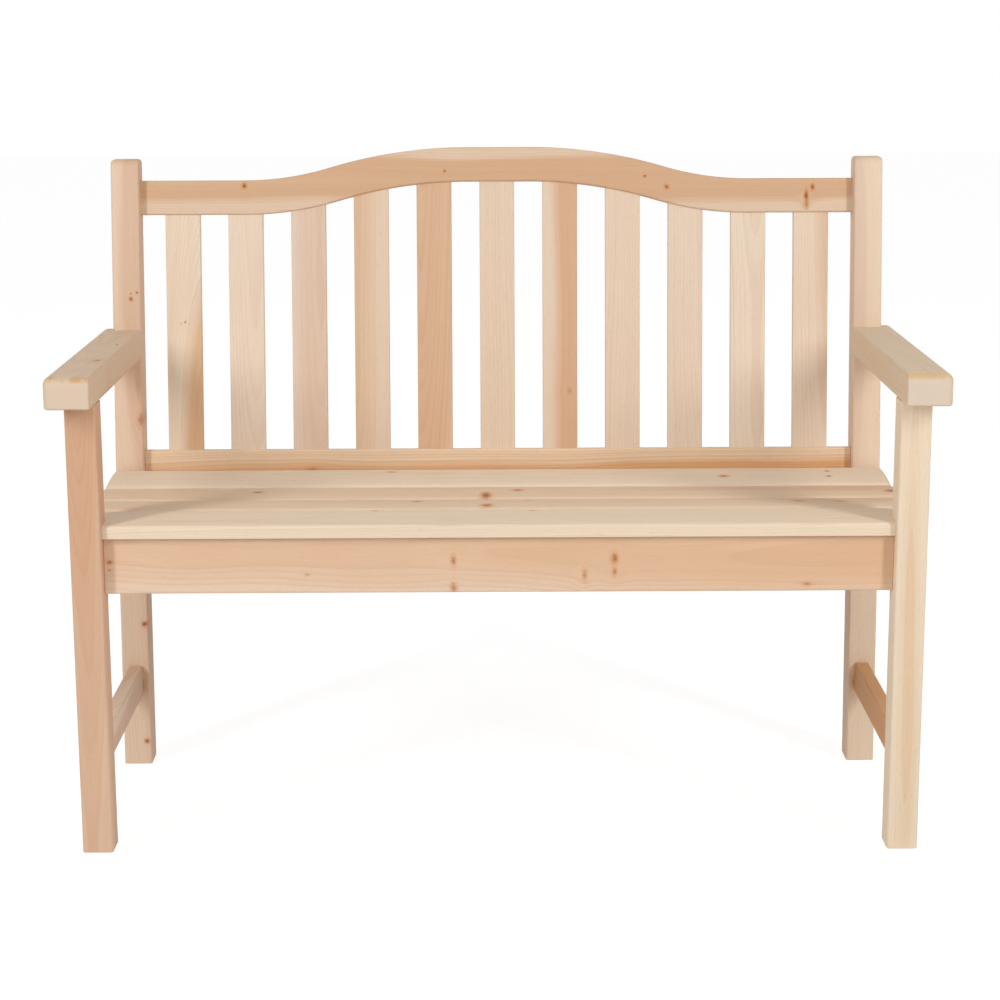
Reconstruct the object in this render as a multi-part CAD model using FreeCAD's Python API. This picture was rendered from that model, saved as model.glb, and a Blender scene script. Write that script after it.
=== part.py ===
import FreeCAD, Part
import math
import os

# Garden bench in unfinished softwood: two side frames, a contoured slatted seat and a camel-back slatted
# back.
# Lengths are millimetres. X runs along the bench, Y from front to back and Z up from the floor.
# While the pieces are built, Y counts from the front faces of the front legs. At the end the whole bench is
# moved so that the origin lies on the floor under the middle of its box.

# Overall width, and the values that all pieces share.
overall_width = 1220.0
edge_radius = 3.0
fit_clearance = 0.2
cut_overrun = 12.0
parallel_tolerance_share = 1e-6

# Front legs.
leg_width = 43.0
front_leg_depth = 46.0
front_leg_height = 642.0

# Rear posts: sawn from one plank each, with one soft bend at the seat and a back that tapers above it.
post_depth = 48.0
lower_rake_degrees = 2.8
upper_rake_degrees = 7.6
bend_above_seat = 3.5
bend_radius = 400.0
post_top_depth = 40.0
post_height = 938.0
post_top_radius = 12.0
post_side_radius = 5.0

# Arms: they overhang the legs, slope down to the rear and are notched round the posts.
arm_side_overhang = 20.0
arm_front_overhang = 42.0
arm_thickness = 44.0
arm_slope_degrees = 0.6
arm_ear_length = 20.0
arm_nose_radius = 14.0
arm_top_radius = 10.0
arm_bottom_radius = 3.0

# Seat slats, front to rear. A positive tilt lifts the rear edge.
seat_height = 471.5
seat_slat_width = 94.0
seat_slat_thickness = 19.0
seat_slat_gap = 5.0
seat_slat_radius = 5.0
seat_setback = 10.0
seat_back_gap = 11.0
seat_tilt_degrees = [0.0, -3.4, -1.3, 2.7]

# Rails under the seat.
apron_setback = 25.0
apron_thickness = 20.0
apron_height = 80.0
side_rail_thickness = 22.0
seat_rail_height = 57.0
rear_rail_setback = 14.0
rear_rail_thickness = 20.0
rear_rail_height = 64.0
rear_rail_drop = 5.0
support_thickness = 28.0
support_tenon_thickness = 12.0
support_tenon_height = 32.0
support_tenon_length = 8.0

# Side stretchers near the floor.
stretcher_height = 46.0
stretcher_clearance = 112.0
stretcher_tenon_thickness = 10.0
stretcher_tenon_height = 30.0
stretcher_tenon_length = 18.0

# Back panel, set out on the sloping front plane of the posts.
back_rail_thickness = 22.0
back_rail_setback = 16.0
back_tenon_thickness = 12.0
back_tenon_shoulder = 8.0
back_tenon_length = 14.0
bottom_rail_height = 31.5
bottom_rail_drop = 9.0
top_rail_height = 52.0
top_rail_drop = 30.3
crown_rise = 49.2
crest_flat_length = 90.0
shoulder_flat_length = 162.0
shoulder_radius = 449.0
back_slat_count = 11
back_slat_width = 53.5
back_slat_thickness = 14.0
back_slat_bevel = 1.5
back_slat_end_gap = 37.0
back_slat_housing = 10.0

# Joinery under the seat: dowels and bolts take turns down one ladder of heights, clear of each other.
ladder_start = 12.0
ladder_step = 16.0
dowel_steps = [0, 2]
bolt_steps = [1, 3]
dowel_radius = 4.0
dowel_depth = 19.0
arm_dowel_radius = 5.0
arm_dowel_depth = 20.0
arm_dowel_spacing = 22.0

# Connector bolts with flat heads and hexagon sockets, and the barrel nuts that they pull on.
bolt_radius = 3.0
bolt_head_radius = 8.0
bolt_head_thickness = 2.5
bolt_socket_radius = 2.5
bolt_socket_depth = 2.0
nut_radius = 5.0
nut_length = 14.0
nut_setback = 30.0
bolt_beyond_nut = 8.0
bolt_socket_sides = 6
rod_sides = 12

# Pan-head screws: long ones from the posts into the arms, short ones from the supports into the slats.
screw_radius = 2.0
screw_head_radius = 4.0
screw_head_thickness = 2.5
screw_grip = 16.0
screw_bite = 13.0
seat_screw_share = 0.7
arm_screw_radius = 3.0
arm_screw_head_radius = 6.0
arm_screw_head_thickness = 4.0
arm_screw_bite = 45.0

# Places that follow from the sizes above.
leg_outer_x = overall_width / 2 - arm_side_overhang
leg_inner_x = leg_outer_x - leg_width
leg_middle_x = (leg_outer_x + leg_inner_x) / 2
lower_rake = math.radians(lower_rake_degrees)
upper_rake = math.radians(upper_rake_degrees)
arm_slope = math.radians(arm_slope_degrees)
seat_underside = seat_height - seat_slat_thickness
bend_height = seat_height + bend_above_seat
support_bottom = seat_underside - seat_rail_height

X_AXIS = FreeCAD.Vector(1, 0, 0)
Y_AXIS = FreeCAD.Vector(0, 1, 0)
Z_AXIS = FreeCAD.Vector(0, 0, 1)
ORIGIN = FreeCAD.Vector(0, 0, 0)


# Helpers for boards, holes and outlines

def box(low, high):
    """Box between two opposite corners."""
    size = [end - start for start, end in zip(low, high)]
    return Part.makeBox(*size, FreeCAD.Vector(*low))


def sided_bar(sides, radius, start, end):
    """Bar with a regular section from one point to another."""
    run = end - start
    turns = [2 * math.pi * index / sides for index in range(sides + 1)]
    points = [FreeCAD.Vector(radius * math.cos(turn), radius * math.sin(turn), 0) for turn in turns]
    bar = Part.Face(Part.makePolygon(points)).extrude(Z_AXIS * run.Length)
    bar.Placement = FreeCAD.Placement(start, FreeCAD.Rotation(Z_AXIS, run))
    return bar


def rod(radius, start, end):
    """Shank, dowel or bore hidden in the wood: so many flats stand for its round."""
    return sided_bar(rod_sides, radius, start, end)


def mirrored(shape):
    """The same piece on the other side of the bench."""
    return shape.mirror(ORIGIN, X_AXIS)


def both_sides(shapes):
    """Shapes of the right-hand side, followed by their left-hand twins."""
    return shapes + [mirrored(shape) for shape in shapes]


def is_along(edge, direction):
    """Whether an edge is straight and runs along a direction."""
    if not isinstance(edge.Curve, Part.Line):
        return False
    return abs(edge.tangentAt(edge.FirstParameter).dot(direction)) > 1 - parallel_tolerance_share


def on_plane(edge, point, normal):
    """Whether the whole edge lies in a plane."""
    middle = edge.valueAt((edge.FirstParameter + edge.LastParameter) / 2)
    places = [vertex.Point for vertex in edge.Vertexes] + [middle]
    return all(abs((place - point).dot(normal)) < fit_clearance / 2 for place in places)


def same_edges(shape, edges):
    """The edges of a changed shape that still lie where some edges lay before."""
    places = [edge.CenterOfMass for edge in edges]
    return [
        edge for edge in shape.Edges
        if any((edge.CenterOfMass - place).Length < fit_clearance for place in places)
    ]


def eased(shape, direction, radius=edge_radius):
    """A board with the edges along its grain rounded over."""
    return shape.makeFillet(radius, [edge for edge in shape.Edges if is_along(edge, direction)])


def outline(corners):
    """Closed wire through pairs of a corner and its radius; a radius of zero leaves the corner sharp."""
    stops = []
    for index, (corner, radius) in enumerate(corners):
        before = (corners[index - 1][0] - corner).normalize()
        after = (corners[(index + 1) % len(corners)][0] - corner).normalize()
        if radius == 0:
            stops.append((corner, corner, corner))
            continue
        half_angle = before.getAngle(after) / 2
        reach = radius / math.tan(half_angle)
        inward = (before + after).normalize()
        middle = corner + inward * (radius / math.sin(half_angle) - radius)
        stops.append((corner + before * reach, middle, corner + after * reach))
    edges = []
    for index, (entry, middle, leave) in enumerate(stops):
        if corners[index][1] > 0:
            edges.append(Part.Arc(entry, middle, leave).toShape())
        edges.append(Part.LineSegment(leave, stops[(index + 1) % len(stops)][0]).toShape())
    return Part.Wire(edges)


def side_profile(corners, start_x, end_x):
    """Solid with a (y, z, radius) outline, from one X to another."""
    wire = outline([(FreeCAD.Vector(start_x, y, z), radius) for y, z, radius in corners])
    return Part.Face(wire).extrude(X_AXIS * (end_x - start_x))


# Lines of the rear posts

def lower_point(inset, height):
    """Point at a height below the bend, a distance behind the post's front face."""
    y = post_foot_y + height * math.tan(lower_rake) + inset / math.cos(lower_rake)
    return FreeCAD.Vector(0, y, height)


def upper_y(inset, height):
    """Y at a height above the bend, a distance behind the post's front face."""
    return bend_y + (height - bend_height) * math.tan(upper_rake) + inset / math.cos(upper_rake)


def post_inset(height):
    """Depth of the post at a height above the bend: its back closes in towards the top."""
    rise_share = (height - bend_height) / (post_height - bend_height)
    return post_depth + (post_top_depth - post_depth) * rise_share


def upper_point(inset, rise):
    """Point of the back panel: inset behind the posts' front plane, rise up its slope from the bend."""
    return back_frame.multVec(FreeCAD.Vector(0, inset, rise))


# Seat contour

def seat_corners():
    """Top front corner, tilt and underside corners of each seat slat, front to rear."""
    rows = []
    y = seat_setback
    z = seat_height
    for tilt_degrees in seat_tilt_degrees:
        tilt = math.radians(tilt_degrees)
        along = FreeCAD.Vector(0, math.cos(tilt), math.sin(tilt))
        upward = FreeCAD.Vector(0, -math.sin(tilt), math.cos(tilt))
        top_front = FreeCAD.Vector(0, y, z)
        under_front = top_front - upward * seat_slat_thickness
        under_rear = under_front + along * seat_slat_width
        rows.append((top_front, tilt_degrees, under_front, under_rear))
        top_rear = top_front + along * seat_slat_width
        y = top_rear.y + seat_slat_gap
        z = top_rear.z
    return rows, top_rear


seat_rows, seat_rear = seat_corners()
post_foot_y = seat_rear.y + seat_back_gap - seat_rear.z * math.tan(lower_rake)
bend_y = lower_point(0, bend_height).y
back_frame = FreeCAD.Placement(
    FreeCAD.Vector(0, bend_y, bend_height), FreeCAD.Rotation(X_AXIS, -upper_rake_degrees))
back_behind = back_frame.Rotation.multVec(Y_AXIS)
lower_behind = FreeCAD.Rotation(X_AXIS, -lower_rake_degrees).multVec(Y_AXIS)


# Side frames

def arm_floor(y):
    """Height of the arm's underside, which slopes down from the front of the leg."""
    return front_leg_height - y * math.tan(arm_slope)


def front_leg():
    """Right-hand front leg, cut to the slope of the arm."""
    blank = side_profile([
        (0, 0, 0),
        (front_leg_depth, 0, 0),
        (front_leg_depth, arm_floor(front_leg_depth), 0),
        (0, front_leg_height, 0),
    ], leg_inner_x, leg_outer_x)
    return eased(blank, Z_AXIS)


def rear_post():
    """Right-hand rear post, with its bend, eased edges and rounded top."""
    lower_back_slope = math.tan(lower_rake)
    taper_slope = (post_top_depth - post_depth) / (post_height - bend_height) / math.cos(upper_rake)
    upper_back_slope = math.tan(upper_rake) + taper_slope
    back_shift = post_depth * (1 / math.cos(upper_rake) - 1 / math.cos(lower_rake))
    back_bend_height = bend_height + back_shift / (lower_back_slope - upper_back_slope)
    corners = [
        (post_foot_y, 0, 0),
        (lower_point(post_depth, 0).y, 0, 0),
        (lower_point(post_depth, back_bend_height).y, back_bend_height, bend_radius),
        (upper_y(post_top_depth, post_height), post_height, post_top_radius),
        (upper_y(0, post_height), post_height, post_top_radius),
        (bend_y, bend_height, bend_radius + post_depth),
    ]
    blank = side_profile(corners, leg_inner_x, leg_outer_x)
    long_edges = [
        edge for edge in blank.Edges
        if not is_along(edge, X_AXIS) and not on_plane(edge, ORIGIN, Z_AXIS)
    ]
    post = blank.makeFillet(edge_radius, long_edges)
    front_y = post_foot_y - cut_overrun
    rear_y = upper_y(post_depth, post_height) + cut_overrun
    front_view = outline([
        (FreeCAD.Vector(leg_inner_x, front_y, 0), 0),
        (FreeCAD.Vector(leg_outer_x, front_y, 0), 0),
        (FreeCAD.Vector(leg_outer_x, front_y, post_height), post_side_radius),
        (FreeCAD.Vector(leg_inner_x, front_y, post_height), post_side_radius),
    ])
    return post.common(Part.Face(front_view).extrude(Y_AXIS * (rear_y - front_y)))


def arm_rear(rise):
    """Y and Z where a line of the arm, a rise above its underside, ends on the ear's raked end."""
    start_height = front_leg_height + rise
    run = upper_y(arm_ear_length, start_height)
    y = run / (1 + math.tan(upper_rake) * math.tan(arm_slope))
    return y, arm_floor(y) + rise


def arm():
    """Right-hand arm: flush inside, overhanging outside and in front, with an ear beside the post."""
    front_y = -arm_front_overhang
    front_floor = arm_floor(front_y)
    low_rear_y, low_rear_z = arm_rear(0)
    top_rear_y, top_rear_z = arm_rear(arm_thickness)
    corners = [
        (front_y, front_floor, 0),
        (low_rear_y, low_rear_z, 0),
        (top_rear_y, top_rear_z, 0),
        (front_y, front_floor + arm_thickness, arm_nose_radius),
    ]
    blank = side_profile(corners, leg_inner_x, overall_width / 2)
    rear_point = FreeCAD.Vector(0, top_rear_y, top_rear_z)
    floor_point = FreeCAD.Vector(0, 0, front_leg_height)
    floor_normal = FreeCAD.Rotation(X_AXIS, -arm_slope_degrees).multVec(Z_AXIS)
    upper_edges = [
        edge for edge in blank.Edges
        if not is_along(edge, X_AXIS)
        and not on_plane(edge, rear_point, back_behind)
        and not on_plane(edge, floor_point, floor_normal)
    ]
    inner_point = X_AXIS * leg_inner_x
    inner_edges = [edge for edge in upper_edges if on_plane(edge, inner_point, X_AXIS)]
    outer_edges = [edge for edge in upper_edges if not on_plane(edge, inner_point, X_AXIS)]
    rounded = blank.makeFillet(arm_top_radius, outer_edges)
    rounded = rounded.makeFillet(edge_radius, same_edges(rounded, inner_edges))
    under_edges = [
        edge for edge in rounded.Edges
        if on_plane(edge, floor_point, floor_normal) and not on_plane(edge, rear_point, back_behind)
    ]
    rounded = rounded.makeFillet(arm_bottom_radius, under_edges)
    notch_low = low_rear_z - cut_overrun
    notch_high = top_rear_z + cut_overrun
    notch = side_profile([
        (upper_y(0, notch_low), notch_low, 0),
        (upper_y(post_depth, notch_low), notch_low, 0),
        (upper_y(post_depth, notch_high), notch_high, 0),
        (upper_y(0, notch_high), notch_high, 0),
    ], leg_inner_x - cut_overrun, leg_outer_x)
    return rounded.cut(notch)


def leg_to_post_bar(thickness, low, high, reach):
    """Bar from the front leg to the post between two heights, reaching into both."""
    return side_profile([
        (front_leg_depth - reach, low, 0),
        (lower_point(reach, low).y, low, 0),
        (lower_point(reach, high).y, high, 0),
        (front_leg_depth - reach, high, 0),
    ], leg_middle_x - thickness / 2, leg_middle_x + thickness / 2)


def stretcher_tenon(clearance):
    """Tenons of the right-hand stretcher as one bar, or their mortises with a clearance."""
    middle = stretcher_clearance + stretcher_height / 2
    half_height = stretcher_tenon_height / 2 + clearance
    return leg_to_post_bar(
        stretcher_tenon_thickness + 2 * clearance,
        middle - half_height,
        middle + half_height,
        stretcher_tenon_length + clearance)


def side_stretcher():
    """Right-hand stretcher with a tenon at each end."""
    body = leg_to_post_bar(
        side_rail_thickness, stretcher_clearance, stretcher_clearance + stretcher_height, 0)
    return eased(body, Y_AXIS).fuse(stretcher_tenon(0)).removeSplitter()


# Rails under the seat

def contour_board(start_y, end_inset, thickness, middle_x):
    """Board whose top carries the slats, each on a flat of its own, from a front Y back to a raked end."""
    tops = [(start_y, seat_underside, 0)]
    for index, (_, _, under_front, under_rear) in enumerate(seat_rows):
        if index > 0:
            tops.append((under_front.y, under_front.z, 0))
        tops.append((under_rear.y, under_rear.z, 0))
    rear_height = seat_rows[-1][3].z
    tops.append((lower_point(end_inset, rear_height).y, rear_height, 0))
    floor = [(lower_point(end_inset, support_bottom).y, support_bottom, 0), (start_y, support_bottom, 0)]
    board = side_profile(tops + floor, middle_x - thickness / 2, middle_x + thickness / 2)
    under = FreeCAD.Vector(0, 0, support_bottom)
    lower_edges = [
        edge for edge in board.Edges if is_along(edge, Y_AXIS) and on_plane(edge, under, Z_AXIS)
    ]
    return board.makeFillet(edge_radius, lower_edges)


def support_tenon(clearance):
    """Stub tenons of the centre support as one bar, or their mortises with a clearance."""
    half_thickness = support_tenon_thickness / 2 + clearance
    low = support_bottom + (seat_rail_height - support_tenon_height) / 2 - clearance
    high = low + support_tenon_height + 2 * clearance
    front_y = apron_setback + apron_thickness - support_tenon_length - clearance
    inset = rear_rail_setback + support_tenon_length + clearance
    return side_profile([
        (front_y, low, 0),
        (lower_point(inset, low).y, low, 0),
        (lower_point(inset, high).y, high, 0),
        (front_y, high, 0),
    ], -half_thickness, half_thickness)


def centre_seat_support():
    """Middle support between the apron and the rear rail."""
    board = contour_board(apron_setback + apron_thickness, rear_rail_setback, support_thickness, 0)
    return board.fuse(support_tenon(0)).removeSplitter()


def front_apron():
    """Board between the front legs, under the front slat."""
    low = (-leg_inner_x, apron_setback, seat_underside - apron_height)
    high = (leg_inner_x, apron_setback + apron_thickness, seat_underside)
    board = box(low, high)
    under = FreeCAD.Vector(*low)
    lower_edges = [
        edge for edge in board.Edges if is_along(edge, X_AXIS) and on_plane(edge, under, Z_AXIS)
    ]
    return board.makeFillet(edge_radius, lower_edges)


def rear_seat_rail():
    """Board between the posts, raked as they are."""
    top = seat_underside - rear_rail_drop
    bottom = top - rear_rail_height
    rear_inset = rear_rail_setback + rear_rail_thickness
    board = side_profile([
        (lower_point(rear_rail_setback, bottom).y, bottom, 0),
        (lower_point(rear_inset, bottom).y, bottom, 0),
        (lower_point(rear_inset, top).y, top, 0),
        (lower_point(rear_rail_setback, top).y, top, 0),
    ], -leg_inner_x, leg_inner_x)
    return eased(board, X_AXIS)


# Seat slats

def seat_slat(row):
    """One slat across the side frames; it is notched where it meets a front leg."""
    top_front, tilt_degrees, _, _ = row
    board = box((-leg_outer_x, 0, -seat_slat_thickness), (leg_outer_x, seat_slat_width, 0))
    top_edges = [edge for edge in board.Edges if on_plane(edge, ORIGIN, Z_AXIS)]
    board = board.makeFillet(seat_slat_radius, top_edges)
    board.Placement = FreeCAD.Placement(top_front, FreeCAD.Rotation(X_AXIS, tilt_degrees))
    if top_front.y < front_leg_depth:
        low = (leg_inner_x - fit_clearance, -cut_overrun, 0)
        high = (leg_outer_x + cut_overrun, front_leg_depth + fit_clearance, front_leg_height)
        board = board.cut(both_sides([box(low, high)]))
    return board


# Back panel, in its own frame: X along the bench, Y behind the posts' front plane, Z up the slope

post_top_rise = (post_height - bend_height) / math.cos(upper_rake)
top_rail_top = post_top_rise - top_rail_drop
top_rail_bottom = top_rail_top - top_rail_height
bottom_rail_bottom = -bottom_rail_drop
bottom_rail_top = bottom_rail_bottom + bottom_rail_height
back_rail_middle = back_rail_setback + back_rail_thickness / 2
crown_top = top_rail_top + crown_rise
crest_end = crest_flat_length / 2
shoulder_end = leg_inner_x - shoulder_flat_length
crown_turn = 2 * math.atan(crown_rise / (shoulder_end - crest_end))
crown_radius = (shoulder_end - crest_end) / math.sin(crown_turn) - shoulder_radius


def arch_edges(depth):
    """Line of the camel back at a depth below its top edge: flats joined by two tangent arcs on each side."""
    crest_radius = crown_radius - depth
    hollow_radius = shoulder_radius + depth
    crest_centre = FreeCAD.Vector(crest_end, 0, crown_top - crown_radius)
    hollow_centre = FreeCAD.Vector(shoulder_end, 0, top_rail_top + shoulder_radius)

    def ray(turn):
        return FreeCAD.Vector(math.sin(turn), 0, math.cos(turn))

    end = FreeCAD.Vector(leg_inner_x, 0, top_rail_top - depth)
    crest = crest_centre + ray(0) * crest_radius
    crest_middle = crest_centre + ray(crown_turn / 2) * crest_radius
    change = crest_centre + ray(crown_turn) * crest_radius
    hollow_middle = hollow_centre - ray(crown_turn / 2) * hollow_radius
    hollow = hollow_centre - ray(0) * hollow_radius
    half = [
        Part.Arc(crest, crest_middle, change).toShape(),
        Part.Arc(change, hollow_middle, hollow).toShape(),
        Part.LineSegment(hollow, end).toShape(),
    ]
    flat = Part.LineSegment(FreeCAD.Vector(-crest.x, 0, crest.z), crest).toShape()
    return [mirrored(edge) for edge in half] + [flat] + half, end


def arch_face(edges, end, low_edges, low_end):
    """Face between an arch line and a lower line that ends at the same X."""
    sides = []
    for sign in (1, -1):
        top = FreeCAD.Vector(sign * end.x, 0, end.z)
        bottom = FreeCAD.Vector(sign * low_end.x, 0, low_end.z)
        sides.append(Part.LineSegment(top, bottom).toShape())
    return Part.Face(Part.Wire(Part.sortEdges(edges + sides + low_edges)[0]))


def under_arch(depth):
    """Solid below an arch line, down to the floor of the lower rail and through the panel's depth."""
    edges, end = arch_edges(depth)
    low_end = FreeCAD.Vector(end.x, 0, bottom_rail_bottom)
    floor = Part.LineSegment(FreeCAD.Vector(-end.x, 0, bottom_rail_bottom), low_end).toShape()
    return arch_face(edges, end, [floor], low_end).extrude(Y_AXIS * post_depth)


def rail_tenon(low, high, clearance):
    """Right-hand tenon of a back rail, or its mortise with a clearance, placed on the bench."""
    half_thickness = back_tenon_thickness / 2 + clearance
    tenon = box(
        (leg_inner_x, back_rail_middle - half_thickness, low + back_tenon_shoulder - clearance),
        (leg_inner_x + back_tenon_length + clearance, back_rail_middle + half_thickness,
         high - back_tenon_shoulder + clearance))
    tenon.Placement = back_frame
    return tenon


def back_bottom_rail():
    """Lower rail of the back."""
    board = eased(box(
        (-leg_inner_x, back_rail_setback, bottom_rail_bottom),
        (leg_inner_x, back_rail_setback + back_rail_thickness, bottom_rail_top)), X_AXIS)
    board.Placement = back_frame
    tenon = rail_tenon(bottom_rail_bottom, bottom_rail_top, 0)
    return board.fuse(both_sides([tenon]))


def back_top_rail():
    """Camel-back rail of even depth, with its long edges rounded over."""
    top_edges, top_end = arch_edges(0)
    low_edges, low_end = arch_edges(top_rail_height)
    face = arch_face(top_edges, top_end, low_edges, low_end)
    face.translate(Y_AXIS * back_rail_setback)
    board = face.extrude(Y_AXIS * back_rail_thickness)
    long_edges = [
        edge for edge in board.Edges
        if not is_along(edge, Y_AXIS) and not is_along(edge, Z_AXIS)
    ]
    board = board.makeFillet(edge_radius, long_edges)
    board.Placement = back_frame
    tenon = rail_tenon(top_rail_bottom, top_rail_top, 0)
    return board.fuse(both_sides([tenon]))


def back_slat_bar(index, clearance):
    """Square bar of one slat, from its lower housing up past the arch, with a clearance all round."""
    pitch = (2 * (leg_inner_x - back_slat_end_gap) - back_slat_width) / (back_slat_count - 1)
    middle_x = (index - (back_slat_count - 1) / 2) * pitch
    half_width = back_slat_width / 2 + clearance
    half_thickness = back_slat_thickness / 2 + clearance
    return box(
        (middle_x - half_width, back_rail_middle - half_thickness,
         bottom_rail_top - back_slat_housing - clearance),
        (middle_x + half_width, back_rail_middle + half_thickness, crown_top))


def back_slat(index, arch):
    """One slat with bevelled edges, cut to the arch on top."""
    bar = back_slat_bar(index, 0)
    long_edges = [edge for edge in bar.Edges if is_along(edge, Z_AXIS)]
    slat = bar.makeChamfer(back_slat_bevel, long_edges).common(arch)
    slat.Placement = back_frame
    return slat


def back_slat_housing_cut(index, arch):
    """The housings of one slat in both rails, curved at the top as the slat is."""
    housing = back_slat_bar(index, fit_clearance).common(arch)
    housing.Placement = back_frame
    return housing


# Dowels, bolts and screws

def bolt(place):
    """Connector bolt through the right-hand leg or post at a place's height and depth."""
    seat = FreeCAD.Vector(leg_outer_x, place.y, place.z)
    tip = FreeCAD.Vector(leg_inner_x - nut_setback - bolt_beyond_nut, place.y, place.z)
    face = seat + X_AXIS * bolt_head_thickness
    head = Part.makeCylinder(bolt_head_radius, bolt_head_thickness, seat, X_AXIS)
    socket = sided_bar(bolt_socket_sides, bolt_socket_radius, face - X_AXIS * bolt_socket_depth, face)
    return head.fuse(rod(bolt_radius, tip, seat)).cut(socket)


def bolt_bore(place):
    """Hole for a bolt, through the leg and into the rail."""
    start = FreeCAD.Vector(leg_outer_x + cut_overrun, place.y, place.z)
    end = FreeCAD.Vector(leg_inner_x - nut_setback - bolt_beyond_nut - fit_clearance, place.y, place.z)
    return rod(bolt_radius + fit_clearance, start, end)


def barrel_nut(place, outward):
    """Barrel nut across a bolt, with its cross hole."""
    middle = FreeCAD.Vector(leg_inner_x - nut_setback, place.y, place.z)
    reach = outward * (nut_length / 2)
    return rod(nut_radius, middle - reach, middle + reach).cut(bolt_bore(place))


def nut_pocket(place, outward):
    """Hole for a barrel nut, open on the face that outward points to."""
    middle = FreeCAD.Vector(leg_inner_x - nut_setback, place.y, place.z)
    inner = middle - outward * (nut_length / 2 + fit_clearance)
    return rod(nut_radius + fit_clearance, inner, middle + outward * (post_depth / 2))


def ladder_heights(steps):
    """Heights of the joinery below the seat."""
    return [seat_underside - ladder_start - step * ladder_step for step in steps]


def seat_rail_dowels(clearance):
    """Right-hand dowels of the side seat rail, or their holes with a clearance."""
    dowels = []
    reach = dowel_depth + clearance
    for height in ladder_heights(dowel_steps):
        front = FreeCAD.Vector(leg_middle_x, front_leg_depth, height)
        rear = FreeCAD.Vector(leg_middle_x, lower_point(0, height).y, height)
        for middle, direction in ((front, Y_AXIS), (rear, lower_behind)):
            start = middle - direction * reach
            end = middle + direction * reach
            dowels.append(rod(dowel_radius + clearance, start, end))
    return dowels


def arm_dowels(clearance):
    """Right-hand dowels from the front leg into the arm, or their holes with a clearance."""
    dowels = []
    for side in (-1, 1):
        y = front_leg_depth / 2 + side * arm_dowel_spacing / 2
        middle = FreeCAD.Vector(leg_middle_x, y, arm_floor(y))
        reach = Z_AXIS * (arm_dowel_depth + clearance)
        dowels.append(rod(arm_dowel_radius + clearance, middle - reach, middle + reach))
    return dowels


def arm_screw(clearance):
    """Right-hand screw through the post into the arm, its head let into the post, or its hole."""
    _, height = arm_rear(arm_thickness / 2)
    rise = (height - bend_height) / math.cos(upper_rake)
    depth = post_inset(height)
    across = X_AXIS * leg_middle_x
    back = upper_point(depth + clearance, rise) + across
    seat = upper_point(depth - arm_screw_head_thickness - clearance, rise) + across
    tip = upper_point(-arm_screw_bite - clearance, rise) + across
    head = rod(arm_screw_head_radius + clearance, seat, back)
    return head.fuse(rod(arm_screw_radius + clearance, tip, seat)).removeSplitter()


def seat_screw_places():
    """Where a seat screw passes from a support into each slat, front to rear."""
    return [under_front + (under_rear - under_front) * seat_screw_share
            for _, _, under_front, under_rear in seat_rows]


def seat_screw(place, middle_x):
    """Screw up through a support into a slat."""
    meeting = FreeCAD.Vector(middle_x, place.y, place.z)
    seat = meeting - Z_AXIS * screw_grip
    head = rod(screw_head_radius, seat - Z_AXIS * screw_head_thickness, seat)
    return head.fuse(rod(screw_radius, seat, meeting + Z_AXIS * screw_bite)).removeSplitter()


def seat_screw_hole(place, middle_x):
    """Hole for a seat screw, with its head's bore up from the support's underside."""
    meeting = FreeCAD.Vector(middle_x, place.y, place.z)
    seat = meeting - Z_AXIS * screw_grip
    below = FreeCAD.Vector(middle_x, place.y, support_bottom - cut_overrun)
    shank = rod(screw_radius + fit_clearance, seat, meeting + Z_AXIS * (screw_bite + fit_clearance))
    return shank.fuse(rod(screw_head_radius + fit_clearance, below, seat))


# Putting the bench together: joints are cut in the right-hand pieces, which are then mirrored

apron_middle_y = apron_setback + apron_thickness / 2
rear_rail_middle = rear_rail_setback + rear_rail_thickness / 2
apron_bolts = [FreeCAD.Vector(0, apron_middle_y, height) for height in ladder_heights(bolt_steps)]
rear_rail_bolts = [lower_point(rear_rail_middle, height) for height in ladder_heights(bolt_steps)]
bottom_rail_bolts = [upper_point(back_rail_middle, (bottom_rail_bottom + bottom_rail_top) / 2)]
top_rail_bolts = [upper_point(back_rail_middle, (top_rail_bottom + top_rail_top) / 2)]


def bolted_rail(rail, places, outward):
    """A cross rail with the bolt holes and nut pockets of both its ends."""
    bores = [bolt_bore(place) for place in places]
    pockets = [nut_pocket(place, outward) for place in places]
    return rail.cut(both_sides(bores + pockets))


def add_pair(pieces, name, right):
    """Add a right-hand piece and its left-hand twin."""
    pieces[name + "_left"] = mirrored(right)
    pieces[name + "_right"] = right


def add_side_frames(pieces):
    """Legs, posts, arms and stretchers, with the holes of every joint in them."""
    mortise = stretcher_tenon(fit_clearance)
    rail_holes = seat_rail_dowels(fit_clearance)
    arm_holes = arm_dowels(fit_clearance)
    screw_hole = arm_screw(fit_clearance)
    leg_bores = [bolt_bore(place) for place in apron_bolts]
    post_bores = [bolt_bore(place) for place in rear_rail_bolts + bottom_rail_bolts + top_rail_bolts]
    back_mortises = [
        rail_tenon(bottom_rail_bottom, bottom_rail_top, fit_clearance),
        rail_tenon(top_rail_bottom, top_rail_top, fit_clearance),
    ]
    add_pair(pieces, "front_leg", front_leg().cut([mortise] + rail_holes + arm_holes + leg_bores))
    add_pair(pieces, "rear_post", rear_post().cut(
        [mortise, screw_hole] + rail_holes + post_bores + back_mortises))
    add_pair(pieces, "arm", arm().cut(arm_holes + [screw_hole]))
    add_pair(pieces, "side_stretcher", side_stretcher())


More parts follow.
